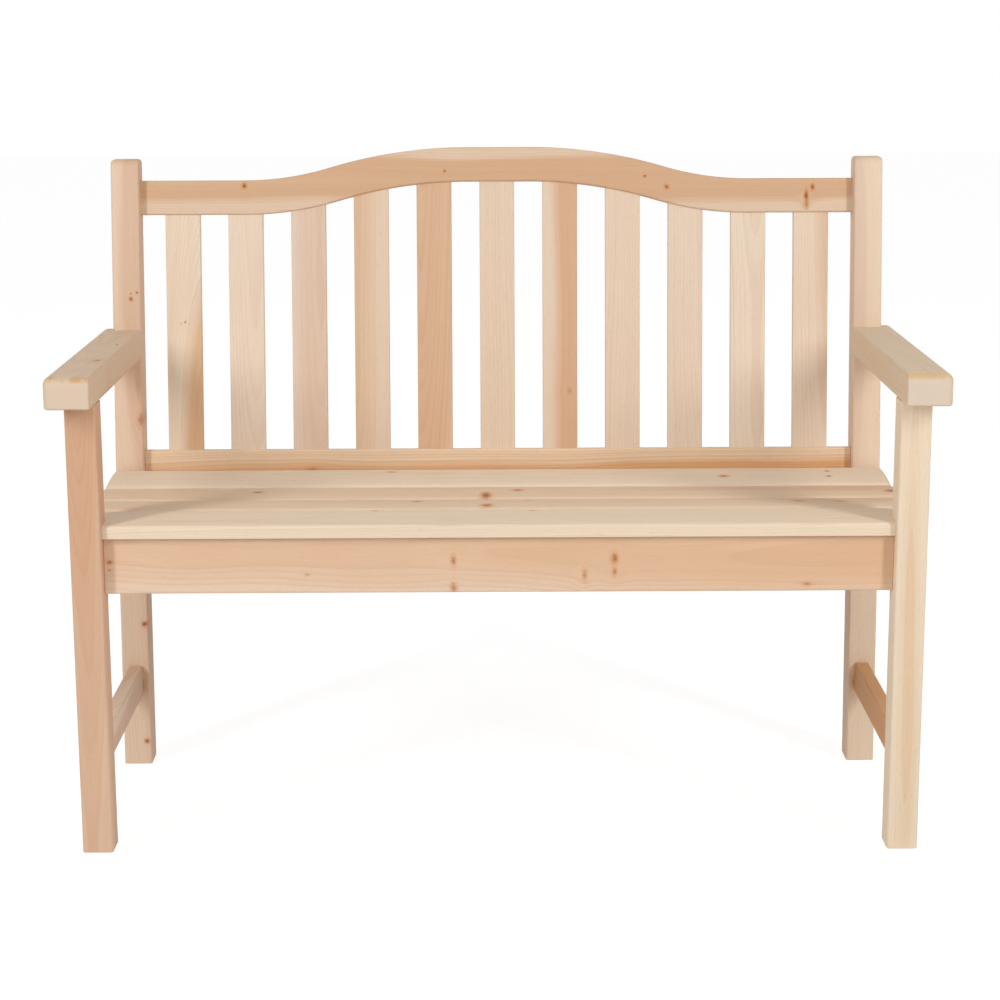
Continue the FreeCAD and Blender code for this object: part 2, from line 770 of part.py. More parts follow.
def add_seat(pieces):
    """Rails, supports and slats of the seat."""
    places = seat_screw_places()
    side_holes = [seat_screw_hole(place, leg_middle_x) for place in places]
    centre_holes = [seat_screw_hole(place, 0) for place in places]
    side_rail = contour_board(front_leg_depth, 0, side_rail_thickness, leg_middle_x)
    add_pair(pieces, "side_seat_rail", side_rail.cut(seat_rail_dowels(fit_clearance) + side_holes))
    pieces["centre_seat_support"] = centre_seat_support().cut(centre_holes)
    mortises = support_tenon(fit_clearance)
    pieces["front_apron"] = bolted_rail(front_apron(), apron_bolts, Y_AXIS).cut(mortises)
    pieces["rear_seat_rail"] = bolted_rail(rear_seat_rail(), rear_rail_bolts, -lower_behind).cut(mortises)
    for index, row in enumerate(seat_rows):
        holes = both_sides([side_holes[index]]) + [centre_holes[index]]
        pieces[f"seat_slat_{index + 1}"] = seat_slat(row).cut(holes)


def add_back(pieces):
    """Rails and slats of the back."""
    slat_arch = under_arch(top_rail_height - back_slat_housing)
    housing_arch = under_arch(top_rail_height - back_slat_housing - fit_clearance)
    slats = [back_slat(index, slat_arch) for index in range(back_slat_count)]
    housings = [back_slat_housing_cut(index, housing_arch) for index in range(back_slat_count)]
    pieces["back_top_rail"] = bolted_rail(back_top_rail(), top_rail_bolts, back_behind).cut(housings)
    pieces["back_bottom_rail"] = bolted_rail(back_bottom_rail(), bottom_rail_bolts, back_behind).cut(housings)
    for index, slat in enumerate(slats):
        pieces[f"back_slat_{index + 1:02d}"] = slat


def add_fixings(pieces):
    """Bolts, nuts, dowels and screws, each kind as one group."""
    joints = [(place, Y_AXIS) for place in apron_bolts]
    joints += [(place, -lower_behind) for place in rear_rail_bolts]
    joints += [(place, back_behind) for place in bottom_rail_bolts + top_rail_bolts]
    places = seat_screw_places()
    side_screws = [seat_screw(place, leg_middle_x) for place in places]
    centre_screws = [seat_screw(place, 0) for place in places]
    groups = {
        "connector_bolts": both_sides([bolt(place) for place, _ in joints]),
        "barrel_nuts": both_sides([barrel_nut(place, outward) for place, outward in joints]),
        "seat_rail_dowels": both_sides(seat_rail_dowels(0)),
        "arm_dowels": both_sides(arm_dowels(0)),
        "arm_screws": both_sides([arm_screw(0)]),
        "seat_screws": both_sides(side_screws) + centre_screws,
    }
    for name, solids in groups.items():
        pieces[name] = Part.makeCompound(solids)


def build():
    """Every piece of the bench by name, standing on the floor about the origin."""
    pieces = {}
    add_side_frames(pieces)
    add_seat(pieces)
    add_back(pieces)
    add_fixings(pieces)
    reach = Part.makeCompound(list(pieces.values())).optimalBoundingBox()
    shift = FreeCAD.Vector(0, -(reach.YMin + reach.YMax) / 2, 0)
    for shape in pieces.values():
        shape.translate(shift)
    return pieces, shift


def main():
    """Write each piece to its own file."""
    os.makedirs("parts", exist_ok=True)
    pieces, shift = build()
    for name, shape in pieces.items():
        shape.exportStep(f"parts/{name}.step")
    print(f"{len(pieces)} pieces, moved {shift.y:.3f} mm in Y")


main()
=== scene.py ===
"""Looks of a wooden garden bench: figured boards, a camel-back top rail, slats, bolts, nuts and screws."""

import logging
import math
from collections.abc import Callable, Iterator, Mapping, Sequence
from dataclasses import asdict, dataclass, field
from enum import Enum
from typing import TypeAlias

import bmesh
import bpy
from bpy.types import Material, Mesh, NodeTree, Object
from mathutils import Matrix, Vector


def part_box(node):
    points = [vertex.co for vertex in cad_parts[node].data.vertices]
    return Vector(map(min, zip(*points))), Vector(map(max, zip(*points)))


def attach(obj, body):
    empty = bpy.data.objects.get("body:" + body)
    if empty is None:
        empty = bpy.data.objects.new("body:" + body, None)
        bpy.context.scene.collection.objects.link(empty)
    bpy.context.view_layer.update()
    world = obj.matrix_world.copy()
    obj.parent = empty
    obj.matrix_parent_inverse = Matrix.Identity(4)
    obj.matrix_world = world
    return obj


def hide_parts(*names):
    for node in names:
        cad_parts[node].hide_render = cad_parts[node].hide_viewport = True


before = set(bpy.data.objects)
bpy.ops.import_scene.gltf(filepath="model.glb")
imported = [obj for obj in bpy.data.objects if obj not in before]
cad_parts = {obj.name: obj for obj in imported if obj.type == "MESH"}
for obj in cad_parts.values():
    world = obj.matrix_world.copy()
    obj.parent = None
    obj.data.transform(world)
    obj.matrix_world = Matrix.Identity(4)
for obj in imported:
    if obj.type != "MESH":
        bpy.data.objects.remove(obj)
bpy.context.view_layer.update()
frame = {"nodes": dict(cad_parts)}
log = logging.getLogger("bench")

BODY = "root"
MERGE_DISTANCE = 1e-6
X_AXIS = Vector((1, 0, 0))
Y_AXIS = Vector((0, 1, 0))
Z_AXIS = Vector((0, 0, 1))

Colour: TypeAlias = tuple[float, float, float]
Screen: TypeAlias = tuple[int, int, int]
Point: TypeAlias = tuple[float, float]
Four: TypeAlias = tuple[float, float, float, float]
Head: TypeAlias = tuple[Vector, Vector]
Operand: TypeAlias = "Value | float"


def tone(red: int, green: int, blue: int) -> Colour:
    """Colour as a shader takes it, from the three numbers that a screen shows."""
    def linear(share: float) -> float:
        """One channel without the screen's curve."""
        return share / 12.92 if share <= 0.04045 else ((share + 0.055) / 1.055) ** 2.4
    return linear(red / 255), linear(green / 255), linear(blue / 255)


class Side(Enum):
    """The half of the bench that a piece belongs to; the value is its sign along X."""

    LEFT = -1
    RIGHT = 1

    def node(self, name: str) -> str:
        """Name of the piece on this side."""
        return f"{name}_{self.name.lower()}"


class Slot(Enum):
    """Material slots of the record."""

    FRAME = "frame_wood"
    RAIL = "rail_wood"
    SEAT = "seat_wood"
    BACK_RAIL = "back_rail_wood"
    BACK_SLAT = "back_slat_wood"
    STEEL = "zinc_steel"


# Node trees

def math_method(operation: str, swapped: bool = False) -> Callable[..., "Value"]:
    """Method that adds a Math node; a reflected operator has its operands swapped."""
    def apply(self: "Value", *others: Operand) -> "Value":
        """Result of the operation on this value and the others."""
        operands = (*others, self) if swapped else (self, *others)
        return self.graph.node("ShaderNodeMath", dict(enumerate(operands)), operation=operation)
    return apply


class Value:
    """Output of a node that takes part in sums."""

    __add__ = __radd__ = math_method("ADD")
    __mul__ = __rmul__ = math_method("MULTIPLY")
    __sub__ = math_method("SUBTRACT")
    __rsub__ = math_method("SUBTRACT", swapped=True)
    __truediv__ = math_method("DIVIDE")
    __rtruediv__ = math_method("DIVIDE", swapped=True)
    __pow__ = math_method("POWER")
    __abs__ = math_method("ABSOLUTE")
    root = math_method("SQRT")
    exp = math_method("EXPONENT")
    sine = math_method("SINE")
    fraction = math_method("FRACT")
    whole = math_method("FLOOR")
    above = math_method("GREATER_THAN")
    at_least = math_method("MAXIMUM")
    at_most = math_method("MINIMUM")

    def __init__(self, graph: "Graph", socket: bpy.types.NodeSocket) -> None:
        """Keep the socket and the graph that its sums are added to."""
        self.graph = graph
        self.socket = socket

    def __neg__(self) -> "Value":
        """Opposite."""
        return self * -1.0

    def leg(self, other: "Value") -> "Value":
        """The leg of a right triangle that has this hypotenuse and another leg."""
        return (self * self - other * other).at_least(0.0).root()

    def ramp(self, start: float, end: float) -> "Value":
        """Smooth step from zero at the start to one at the end."""
        inputs = {0: self, 1: start, 2: end, 3: 0.0, 4: 1.0}
        return self.graph.node("ShaderNodeMapRange", inputs, interpolation_type="SMOOTHSTEP")


class Graph:
    """Adds nodes to a tree and links them."""

    def __init__(self, tree: NodeTree) -> None:
        """Keep the tree."""
        self.tree = tree

    def node(
        self,
        kind: str,
        inputs: Mapping[int | str, object] | None = None,
        output: int | str = 0,
        **settings: object,
    ) -> Value:
        """Add one node.

        Args:
            kind: The node's type.
            inputs: Values, links or lists of links, by the name or number of the socket.
            output: The output that is wanted.
            settings: The node's properties, which are set before its sockets.

        Returns:
            That output, ready for sums.
        """
        node = self.tree.nodes.new(kind)
        for name, setting in settings.items():
            setattr(node, name, setting)
        for key, wanted in (inputs or {}).items():
            socket = node.inputs[key]
            for one in wanted if isinstance(wanted, list) else [wanted]:
                if isinstance(one, Value):
                    self.tree.links.new(one.socket, socket)
                elif socket.type == "RGBA":
                    socket.default_value = (*one, 1.0)
                else:
                    socket.default_value = one
        return Value(self, node.outputs[output] if node.outputs else None)

    def vector(self, x: Operand, y: Operand, z: Operand) -> Value:
        """Vector from three values."""
        return self.node("ShaderNodeCombineXYZ", {0: x, 1: y, 2: z})

    def split(self, vector: Value) -> tuple[Value, Value, Value]:
        """Three values of a vector."""
        node = self.node("ShaderNodeSeparateXYZ", {0: vector}).socket.node
        return tuple(Value(self, socket) for socket in node.outputs)

    def mix(self, share: Operand, first: Value | Colour, second: Value | Colour, how: str = "MIX") -> Value:
        """Colour between two others."""
        inputs = {0: share, 6: first, 7: second}
        return self.node("ShaderNodeMix", inputs, output=2, data_type="RGBA", blend_type=how)

    def noise(self, vector: Value, detail: float = 2.0, roughness: float = 0.5) -> Value:
        """Smooth noise about one half, with a feature to each unit of the vector."""
        inputs = {"Vector": vector, "Scale": 1.0, "Detail": detail, "Roughness": roughness}
        return self.node("ShaderNodeTexNoise", inputs)

    def surface(self, inputs: Mapping[str, object], height: Value, strength: float, distance: float) -> None:
        """End a material in a principled shader with a relief."""
        relief = {"Strength": strength, "Distance": distance, "Height": height}
        bump = self.node("ShaderNodeBump", relief)
        shader = self.node("ShaderNodeBsdfPrincipled", {**inputs, "Normal": bump})
        self.node("ShaderNodeOutputMaterial", {"Surface": shader})


def emptied(block: Material | bpy.types.World) -> NodeTree:
    """Node tree of a new material or world, with nothing in it."""
    block.use_nodes = True
    block.node_tree.nodes.clear()
    return block.node_tree


class MeshTree(Graph):
    """Geometry tree with named inputs that becomes a plain mesh."""

    def __init__(self, name: str) -> None:
        """Start an empty tree."""
        super().__init__(bpy.data.node_groups.new(name, "GeometryNodeTree"))
        for way in ("INPUT", "OUTPUT"):
            self.tree.interface.new_socket("Geometry", in_out=way, socket_type="NodeSocketGeometry")
        self.entry = self.tree.nodes.new("NodeGroupInput")
        self.settings: dict[str, object] = {}

    def size(self, name: str, value: object) -> Value:
        """Named input of the tree and the value that its modifier gets."""
        kinds = {int: "NodeSocketInt", float: "NodeSocketFloat", Material: "NodeSocketMaterial"}
        item = self.tree.interface.new_socket(name, in_out="INPUT", socket_type=kinds[type(value)])
        self.settings[item.identifier] = value
        return Value(self, self.entry.outputs[name])

    def sizes(self, **sizes: float | int) -> list[Value]:
        """Inputs that are named after some sizes, in their order."""
        return [self.size(name.replace("_", " ").capitalize(), value) for name, value in sizes.items()]

    def place(self) -> tuple[Value, Value, Value]:
        """Place of each point."""
        return self.split(self.node("GeometryNodeInputPosition"))

    def reshape(self, shape: Value, x: Operand, y: Operand, z: Operand) -> Value:
        """A shape with each of its points in another place."""
        return self.node("GeometryNodeSetPosition", {"Geometry": shape, "Position": self.vector(x, y, z)})

    def join(self, *shapes: Value) -> Value:
        """Several shapes as one."""
        return self.node("GeometryNodeJoinGeometry", {0: list(shapes)})

    def raised(self, shape: Value, height: Operand) -> Value:
        """A shape moved up."""
        place = self.vector(0.0, 0.0, height)
        return self.node("GeometryNodeTransform", {"Geometry": shape, "Translation": place})

    def outline(self, width: Value, height: Value, radius: Value, steps: int) -> Value:
        """Rectangle with rounded corners, as a curve."""
        edge = self.node("GeometryNodeCurvePrimitiveQuadrilateral", {"Width": width, "Height": height})
        inputs = {"Curve": edge, "Count": steps, "Radius": radius}
        return self.node("GeometryNodeFilletCurve", inputs, mode="POLY")

    def round_bar(self, sides: int, radius: Value, start: Operand, end: Operand) -> Value:
        """Bar with a regular section along Z between two heights."""
        inputs = {"Vertices": sides, "Radius": radius, "Depth": end - start}
        return self.raised(self.node("GeometryNodeMeshCylinder", inputs), (end + start) * 0.5)

    def block(self, x: Value, y: Value, z: Value) -> Value:
        """Box about the origin."""
        return self.node("GeometryNodeMeshCube", {"Size": self.vector(x, y, z)})

    def cut(self, shape: Value, cutter: Value) -> Value:
        """A shape less another."""
        inputs = {"Mesh 1": shape, "Mesh 2": cutter}
        return self.node("GeometryNodeMeshBoolean", inputs, operation="DIFFERENCE", solver="EXACT")

    def real(self, shape: Value) -> Value:
        """A shape with its instances made real."""
        return self.node("GeometryNodeRealizeInstances", {"Geometry": shape})

    def mesh(self, shape: Value, material: Material, start: Mesh | None = None) -> Mesh:
        """Run the tree.

        Args:
            shape: The tree's result, before its instances are made real.
            material: Finish of the result.
            start: Mesh that the tree starts from, if it needs one.

        Returns:
            A plain mesh with no modifier.
        """
        inputs = {"Geometry": self.real(shape), "Material": self.size("Finish", material)}
        self.node("NodeGroupOutput", {0: self.node("GeometryNodeSetMaterial", inputs)})
        holder = placed(self.tree.name, start or bpy.data.meshes.new("start"))
        modifier = holder.modifiers.new(self.tree.name, "NODES")
        modifier.node_group = self.tree
        for identifier, value in self.settings.items():
            modifier[identifier] = value
        result = plain_mesh(holder)
        bpy.data.objects.remove(holder)
        return result


# Meshes

def placed(name: str, data: bpy.types.ID) -> Object:
    """New object in the scene."""
    thing = bpy.data.objects.new(name, data)
    bpy.context.scene.collection.objects.link(thing)
    return thing


def plain_mesh(holder: Object) -> Mesh:
    """Evaluated mesh of an object, free of its modifiers."""
    depsgraph = bpy.context.evaluated_depsgraph_get()
    evaluated = holder.evaluated_get(depsgraph)
    result = bpy.data.meshes.new_from_object(evaluated, preserve_all_data_layers=True, depsgraph=depsgraph)
    holder.modifiers.clear()
    return result


def to_mesh(bm: bmesh.types.BMesh, name: str) -> Mesh:
    """Mesh of a closed shape, with faces that point outwards."""
    bmesh.ops.recalc_face_normals(bm, faces=bm.faces)
    mesh = bpy.data.meshes.new(name)
    bm.to_mesh(mesh)
    bm.free()
    return mesh


def merged(mesh: Mesh) -> bmesh.types.BMesh:
    """Shape of a mesh with closed seams."""
    bm = bmesh.new()
    bm.from_mesh(mesh)
    bmesh.ops.remove_doubles(bm, verts=bm.verts, dist=MERGE_DISTANCE)
    return bm


def skinned(rings: Sequence[Sequence[Sequence[float]]], name: str) -> Mesh:
    """Closed mesh through rings of points that follow each other."""
    bm = bmesh.new()
    verts = [[bm.verts.new(place) for place in ring] for ring in rings]
    for before, after in zip(verts, verts[1:]):
        for index in range(len(before)):
            bm.faces.new((before[index - 1], before[index], after[index], after[index - 1]))
    bm.faces.new(verts[0])
    bm.faces.new(verts[-1])
    return to_mesh(bm, name)


def prism(corners: Sequence[Point], start_x: float, end_x: float) -> Mesh:
    """Closed block with a (y, z) outline, from one X to another."""
    return skinned([[(x, y, z) for y, z in corners] for x in sorted((start_x, end_x))], "block")


def bore(start: Vector, end: Vector, radius: float, sides: int = 32) -> Mesh:
    """Closed round bar between two points, to cut a hole with."""
    bm = bmesh.new()
    run = end - start
    place = Matrix.Translation((start + end) / 2) @ run.to_track_quat("Z", "Y").to_matrix().to_4x4()
    bmesh.ops.create_cone(
        bm, cap_ends=True, segments=sides, radius1=radius, radius2=radius, depth=run.length, matrix=place)
    return to_mesh(bm, "bore")


def trimmed(mesh: Mesh, trims: Sequence[Mesh]) -> Mesh:
    """A mesh less some closed meshes."""
    if not trims:
        return mesh
    holder = placed(mesh.name, mesh)
    cutters = [placed(trim.name, trim) for trim in trims]
    for cutter in cutters:
        modifier = holder.modifiers.new(cutter.name, "BOOLEAN")
        modifier.operation = "DIFFERENCE"
        modifier.solver = "EXACT"
        modifier.object = cutter
    result = plain_mesh(holder)
    for used in (holder, *cutters):
        bpy.data.objects.remove(used)
    return result


def centred(node: str) -> tuple[Vector, Vector]:
    """Middle of a node's box and half of its sizes."""
    low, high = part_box(node)
    return (low + high) / 2, (high - low) / 2


def islands(node: str) -> list[tuple[Vector, Vector]]:
    """Box of each separate solid in a node of the frame, left to right."""
    bm = merged(frame["nodes"][node].data)
    boxes = []
    left = set(bm.verts)
    while left:
        reached = {left.pop()}
        fresh = list(reached)
        while fresh:
            around = {edge.other_vert(vert) for vert in fresh for edge in vert.link_edges}
            fresh = list(around - reached)
            reached.update(fresh)
        left -= reached
        low, high = [
            Vector([pick(vert.co[axis] for vert in reached) for axis in range(3)]) for pick in (min, max)]
        boxes.append((low, high))
    bm.free()
    return sorted(boxes, key=lambda box: tuple(round(value, 4) for value in box[0]))


def settle(mesh: Mesh, node: str, slot: Slot, material: Material, smooth_angle: float) -> None:
    """Make a piece of a mesh, let it stand for its node and report it.

    Args:
        mesh: The finished mesh.
        node: The node that it stands for.
        slot: Material slot of the piece.
        material: Its finish.
        smooth_angle: Edges that are sharper than this stay sharp.
    """
    mesh.shade_smooth()
    mesh.set_sharp_from_angle(angle=smooth_angle)
    mesh.materials.clear()
    mesh.materials.append(material)
    piece = placed(f"{node}.steel" if slot is Slot.STEEL else f"{node}.board", mesh)
    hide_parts(node)
    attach(piece, BODY)
    log.info("%s: %d faces, finish %s", piece.name, len(mesh.polygons), material.name)


# Boards

def even(size: float) -> Four:
    """The same size four times."""
    return size, size, size, size


def axes_matrix(*columns: Vector) -> Matrix:
    """Matrix from three axes and an origin."""
    return Matrix([[column[row] for column in columns] for row in range(3)] + [[0, 0, 0, 1]])


def leaning(rake: float) -> tuple[Vector, Vector]:
    """Directions up a face that leans back by an angle, and straight back from it."""
    return Vector((0, math.sin(rake), math.cos(rake))), Vector((0, math.cos(rake), -math.sin(rake)))


@dataclass(frozen=True, eq=False)
class BoardFrame:
    """A board's own axes: along its grain, across its face and through its thickness."""

    origin: Vector
    along: Vector
    across: Vector

    @property
    def through(self) -> Vector:
        """Direction through the board."""
        return self.along.cross(self.across)

    def matrix(self) -> Matrix:
        """Turn and place of the board on the bench."""
        return axes_matrix(self.along, self.across, self.through, self.origin)


@dataclass(frozen=True)
class Section:
    """Rounded rectangle across a board: its sides across and through it, and the radii of its corners.

    The corners follow each other round the section, from the one where both sides are lowest. A crowned
    board's high side is an arc that falls away towards its edges.
    """

    low: Point
    high: Point
    radii: Four
    crown: float = 0.0
    crown_steps: int = 10

    @staticmethod
    def about(across: float, through: float, radii: Four) -> "Section":
        """Section about the board's middle, from half of its sizes."""
        return Section((-across, -through), (across, through), radii)

    def inset(self, sides: Sequence[float]) -> "Section":
        """Smaller section, drawn in at its low and high sides across, then through."""
        low = (self.low[0] + sides[0], self.low[1] + sides[2])
        high = (self.high[0] - sides[1], self.high[1] - sides[3])
        return Section(low, high, self.radii, self.crown)

    def crowned(self, ring: Sequence[Point]) -> list[Point]:
        """Points of the section, bent down towards both edges of the high side."""
        middle = (self.low[0] + self.high[0]) / 2
        half = (self.high[0] - self.low[0]) / 2
        bend = self.crown / (self.high[1] - self.low[1])
        return [(b, c - bend * ((b - middle) / half) ** 2 * (c - self.low[1])) for b, c in ring]

    def points(self, steps: int, margin: float) -> list[Point]:
        """Points round the section.

        Args:
            steps: Parts of each round corner.
            margin: Distance from a corner's ends to the points that keep the flats flat.

        Returns:
            Pairs of places across and through the board.
        """
        corners = (
            (self.low[0], self.low[1], 1, 1), (self.high[0], self.low[1], -1, 1),
            (self.high[0], self.high[1], -1, -1), (self.low[0], self.high[1], 1, -1))
        ring = []
        for index, (b, c, b_sign, c_sign) in enumerate(corners):
            radius = self.radii[index]
            middle = (b + b_sign * radius, c + c_sign * radius)
            turns = [math.pi + (index + step / steps) * math.pi / 2 for step in range(steps + 1)]
            arc = [(middle[0] + radius * math.cos(t), middle[1] + radius * math.sin(t)) for t in turns]
            first, last = turns[0], turns[-1]
            ring.append((arc[0][0] + margin * math.sin(first), arc[0][1] - margin * math.cos(first)))
            ring.extend(arc)
            ring.append((arc[-1][0] - margin * math.sin(last), arc[-1][1] + margin * math.cos(last)))
            if index == 2 and self.crown:
                start = ring[-1][0]
                step_run = (self.low[0] + self.radii[3] + margin - start) / self.crown_steps
                ring += [(start + step_run * step, c) for step in range(1, self.crown_steps)]
        return self.crowned(ring)


@dataclass(frozen=True)
class EndCut:
    """How a board ends: the rounding of the end's four arrises, and how far it leans through the board."""

    rounding: Four = even(0.0012)
    lean: float = 0.0
    steps: int = 4

    def insets(self, margin: float) -> Iterator[tuple[float, Sequence[float]]]:
        """Distances from the end and how far the four sides are drawn in there, from the cap inwards."""
        largest = max(self.rounding)
        yield 0.0, tuple(radius + margin for radius in self.rounding)
        for step in range(self.steps + 1):
            distance = largest * (1 - math.cos(step / self.steps * math.pi / 2))
            yield distance, tuple(self.drawn_in(radius, distance) for radius in self.rounding)
        yield largest + margin, even(0.0)

    @staticmethod
    def drawn_in(radius: float, distance: float) -> float:
        """Inset of a side with a rounded arris at a distance from the end."""
        if distance >= radius:
            return 0.0
        return radius - math.sqrt(radius ** 2 - (radius - distance) ** 2)


@dataclass
class Board:
    """One board of the bench, made of sections along its grain."""

    node: str
    slot: Slot
    frame: BoardFrame
    material: Material
    corner_steps: int = 5
    margin: float = 0.0008
    smooth_angle: float = math.radians(32)

    def loft(
        self,
        start: float,
        end: float,
        section: Section | Callable[[float], Section],
        stops: Sequence[float] = (),
        cuts: tuple[EndCut, EndCut] = (EndCut(), EndCut()),
        trims: Sequence[Mesh] = (),
    ) -> None:
        """Skin the board, trim it and let it stand for its node.

        Args:
            start: Where the board starts along its grain.
            end: Where it ends.
            section: Its section, or the section at a place along the grain.
            stops: Places between the ends where the section changes.
            cuts: How both ends are cut.
            trims: Closed meshes that are cut from it.
        """
        stations = [(start + gap, sides, cuts[0].lean) for gap, sides in cuts[0].insets(self.margin)]
        stations += [(stop, even(0.0), 0.0) for stop in stops]
        stations += reversed([(end - gap, sides, cuts[1].lean) for gap, sides in cuts[1].insets(self.margin)])
        place = self.frame.matrix()
        rings = []
        for along, sides, lean in stations:
            here = section(along) if callable(section) else section
            ring = here.inset(sides).points(self.corner_steps, self.margin)
            rings.append([place @ Vector((along + lean * c, b, c)) for b, c in ring])
        mesh = trimmed(skinned(rings, f"{self.node}.board"), trims)
        settle(mesh, self.node, self.slot, self.material, self.smooth_angle)


# Finishes

@dataclass(frozen=True)
class Knot:
    """A knot that goes through a board, by its place from the middle of the board's face; a faint one also
    stands for a spot of painted shade.
    """

    along: float
    across: float
    radius: float
    stretch: float = 1.0
    dark: float = 0.85


@dataclass(frozen=True)
class BoardFinish:
    """Planed and unfinished softwood, as one board was sawn from its log."""

    sap: Colour
    heart: Colour
    seed: float
    late: Colour = tone(196, 145, 102)
    arris: Colour = tone(216, 178, 128)
    arris_share: float = 0.3
    end_grain: Colour = tone(196, 145, 102)
    end_share: float = 0.12
    # Colours of each knot, also used to paint each spot of painted shade.
    knot_heart: Colour = tone(144, 78, 34)
    knot_rim: Colour = tone(214, 146, 90)
    heart_radius: float = 0.050
    heart_blur: float = 0.012
    pith_across: float = 0.012
    pith_through: float = -0.045
    runout: float = 0.018
    ring_spacing: float = 0.0036
    ring_depth: float = 0.21
    streak: float = 0.45
    wander: float = 0.010
    # This list also holds spots of painted shade.
    knots: tuple[Knot, ...] = ()


def wood(sap: Screen, heart: Screen, seed: float, *knots: Knot, **more: object) -> BoardFinish:
    """Finish of one board, with the screen colours of its sapwood and heartwood first."""
    return BoardFinish(tone(*sap), tone(*heart), seed, knots=knots, **more)


class BoardMaterial(Graph):
    """Wood of one board, figured by the rings of a log whose pith runs beside the board.

    The lengths of a pattern are those of its features along, across and through the board.
    """

    drift_lengths = (0.62, 0.13, 0.13)
    sway_lengths = (0.40, 0.10, 0.10)
    band_lengths = (1.1, 0.021, 0.021)
    cloud_lengths = (0.19, 0.05, 0.05)
    fibre_lengths = (0.075, 0.0011, 0.0011)
    fleck_lengths = (0.016, 0.0009, 0.0009)
    uneven_lengths = (0.006, 0.004, 0.004)
    ripple_length = 0.011
    ripple_rings = 2.2
    band_reach = 0.020
    cloud_reach = 0.010
    knot_reaches = (3.2, 2.6)
    knot_pull = 0.72
    knot_circles = 9.0
    shine = 0.28
    relief_strength = 0.35
    relief_depth = 0.00022

    def __init__(self, node: str, board: BoardFrame, finish: BoardFinish) -> None:
        """Build the material.

        Args:
            node: The board's node.
            board: The board's axes.
            finish: How its wood looks.
        """
        self.material = bpy.data.materials.new(f"{node}.finish")
        super().__init__(emptied(self.material))
        self.board = board
        self.finish = finish
        self.shade()

    def local(self) -> tuple[Value, Value, Value]:
        """Places along, across and through the board."""
        inputs = {
            "Vector": self.node("ShaderNodeTexCoord", output="Object"),
            "Location": self.board.origin,
            "Rotation": self.board.matrix().to_euler(),
        }
        return self.split(self.node("ShaderNodeMapping", inputs, vector_type="TEXTURE"))

    def pattern(
        self,
        place: Sequence[Value],
        lengths: Sequence[float],
        shift: float,
        detail: float,
        roughness: float = 0.5,
    ) -> Value:
        """Noise in the board.

        Args:
            place: Where in the board.
            lengths: Lengths of a feature along, across and through it.
            shift: How far the board's seed moves the pattern.
            detail: Octaves of finer noise.
            roughness: Share of each octave.

        Returns:
            The noise, about one half.
        """
        counts = [value / length + self.finish.seed * shift for value, length in zip(place, lengths)]
        return self.noise(self.vector(*counts), detail, roughness)

    def bent(self, place: Sequence[Value]) -> tuple[Value, Value, Value]:
        """Place in the board as the grain sees it, wandering and led round each knot and each spot of painted
        shade.
        """
        along, across, through = place
        drift = self.pattern(place, self.drift_lengths, 7.3, 1.5)
        sway = self.pattern(place, self.sway_lengths, 3.9, 1.0)
        grain = across + (drift - 0.5) * (2 * self.finish.wander)
        depth = through + (sway - 0.5) * (2 * self.finish.wander)
        for knot in self.finish.knots:
            off_across = across - knot.across
            far_along = (along - knot.along) / (self.knot_reaches[0] * knot.radius * knot.stretch)
            far_across = off_across / (self.knot_reaches[1] * knot.radius)
            near = (-(far_along ** 2 + far_across ** 2)).exp()
            grain = grain - off_across * near * self.knot_pull
        return along, grain, depth

    def rings(self, bent_place: Sequence[Value]) -> tuple[Value, Value, Value]:
        """Distance from the pith, latewood share and a number of its own for each ring."""
        finish = self.finish
        along, grain, depth = bent_place
        out = grain - finish.pith_across
        down = depth - along * finish.runout - finish.pith_through
        radius = (out * out + down * down).root()
        ripple = self.noise(self.vector(radius / self.ripple_length, finish.seed * 5.1, 0.0), 1.0)
        count = radius / finish.ring_spacing + ripple * self.ripple_rings
        part = count.fraction()
        late = part.ramp(0.30, 0.93) * (1 - part.ramp(0.94, 1.0))
        number = count.whole() + finish.seed
        own = self.node("ShaderNodeTexWhiteNoise", {"W": number}, noise_dimensions="1D")
        return radius, late, own

    def knot_tints(self, colour: Value, place: Sequence[Value]) -> tuple[Value, Value]:
        """Colour with each knot and each spot of painted shade tinted in, and how strongly one covers the
        place.
        """
        along, across, _ = place
        cover = along * 0.0
        for index, knot in enumerate(self.finish.knots):
            uneven = self.pattern(place, self.uneven_lengths, 1.7 + index, 2.0) - 0.5
            off_along = (along - knot.along) / (knot.radius * knot.stretch)
            off_across = (across - knot.across) / knot.radius
            distance = (off_along * off_along + off_across * off_across).root() + uneven
            # For a spot of painted shade, the halo and core paint its warm shade.
            halo = (1 - distance.ramp(0.6, 1.9)) * (0.70 * knot.dark)
            core = (1 - distance.ramp(0.20, 1.10)) * knot.dark
            circles = (distance * self.knot_circles).sine() * 0.5 + 0.5
            colour = self.mix(halo, colour, self.finish.knot_rim)
            colour = self.mix(core * (0.72 + circles * 0.28), colour, self.finish.knot_heart)
            cover = cover.at_least(core)
        return colour, cover

    def end_shares(self) -> tuple[Value, Value]:
        """How far a face shows end grain, and how far it belongs to the rounding of an end."""
        normal = self.node("ShaderNodeNewGeometry", output="True Normal")
        facing, upward = [
            abs(self.node("ShaderNodeVectorMath", {0: normal, 1: axis}, "Value", operation="DOT_PRODUCT"))
            for axis in (self.board.along, self.board.through)]
        rounding = facing.ramp(0.10, 0.45) * (1 - facing.ramp(0.75, 0.98)) * upward.ramp(0.15, 0.45)
        return facing.ramp(0.55, 0.95), rounding

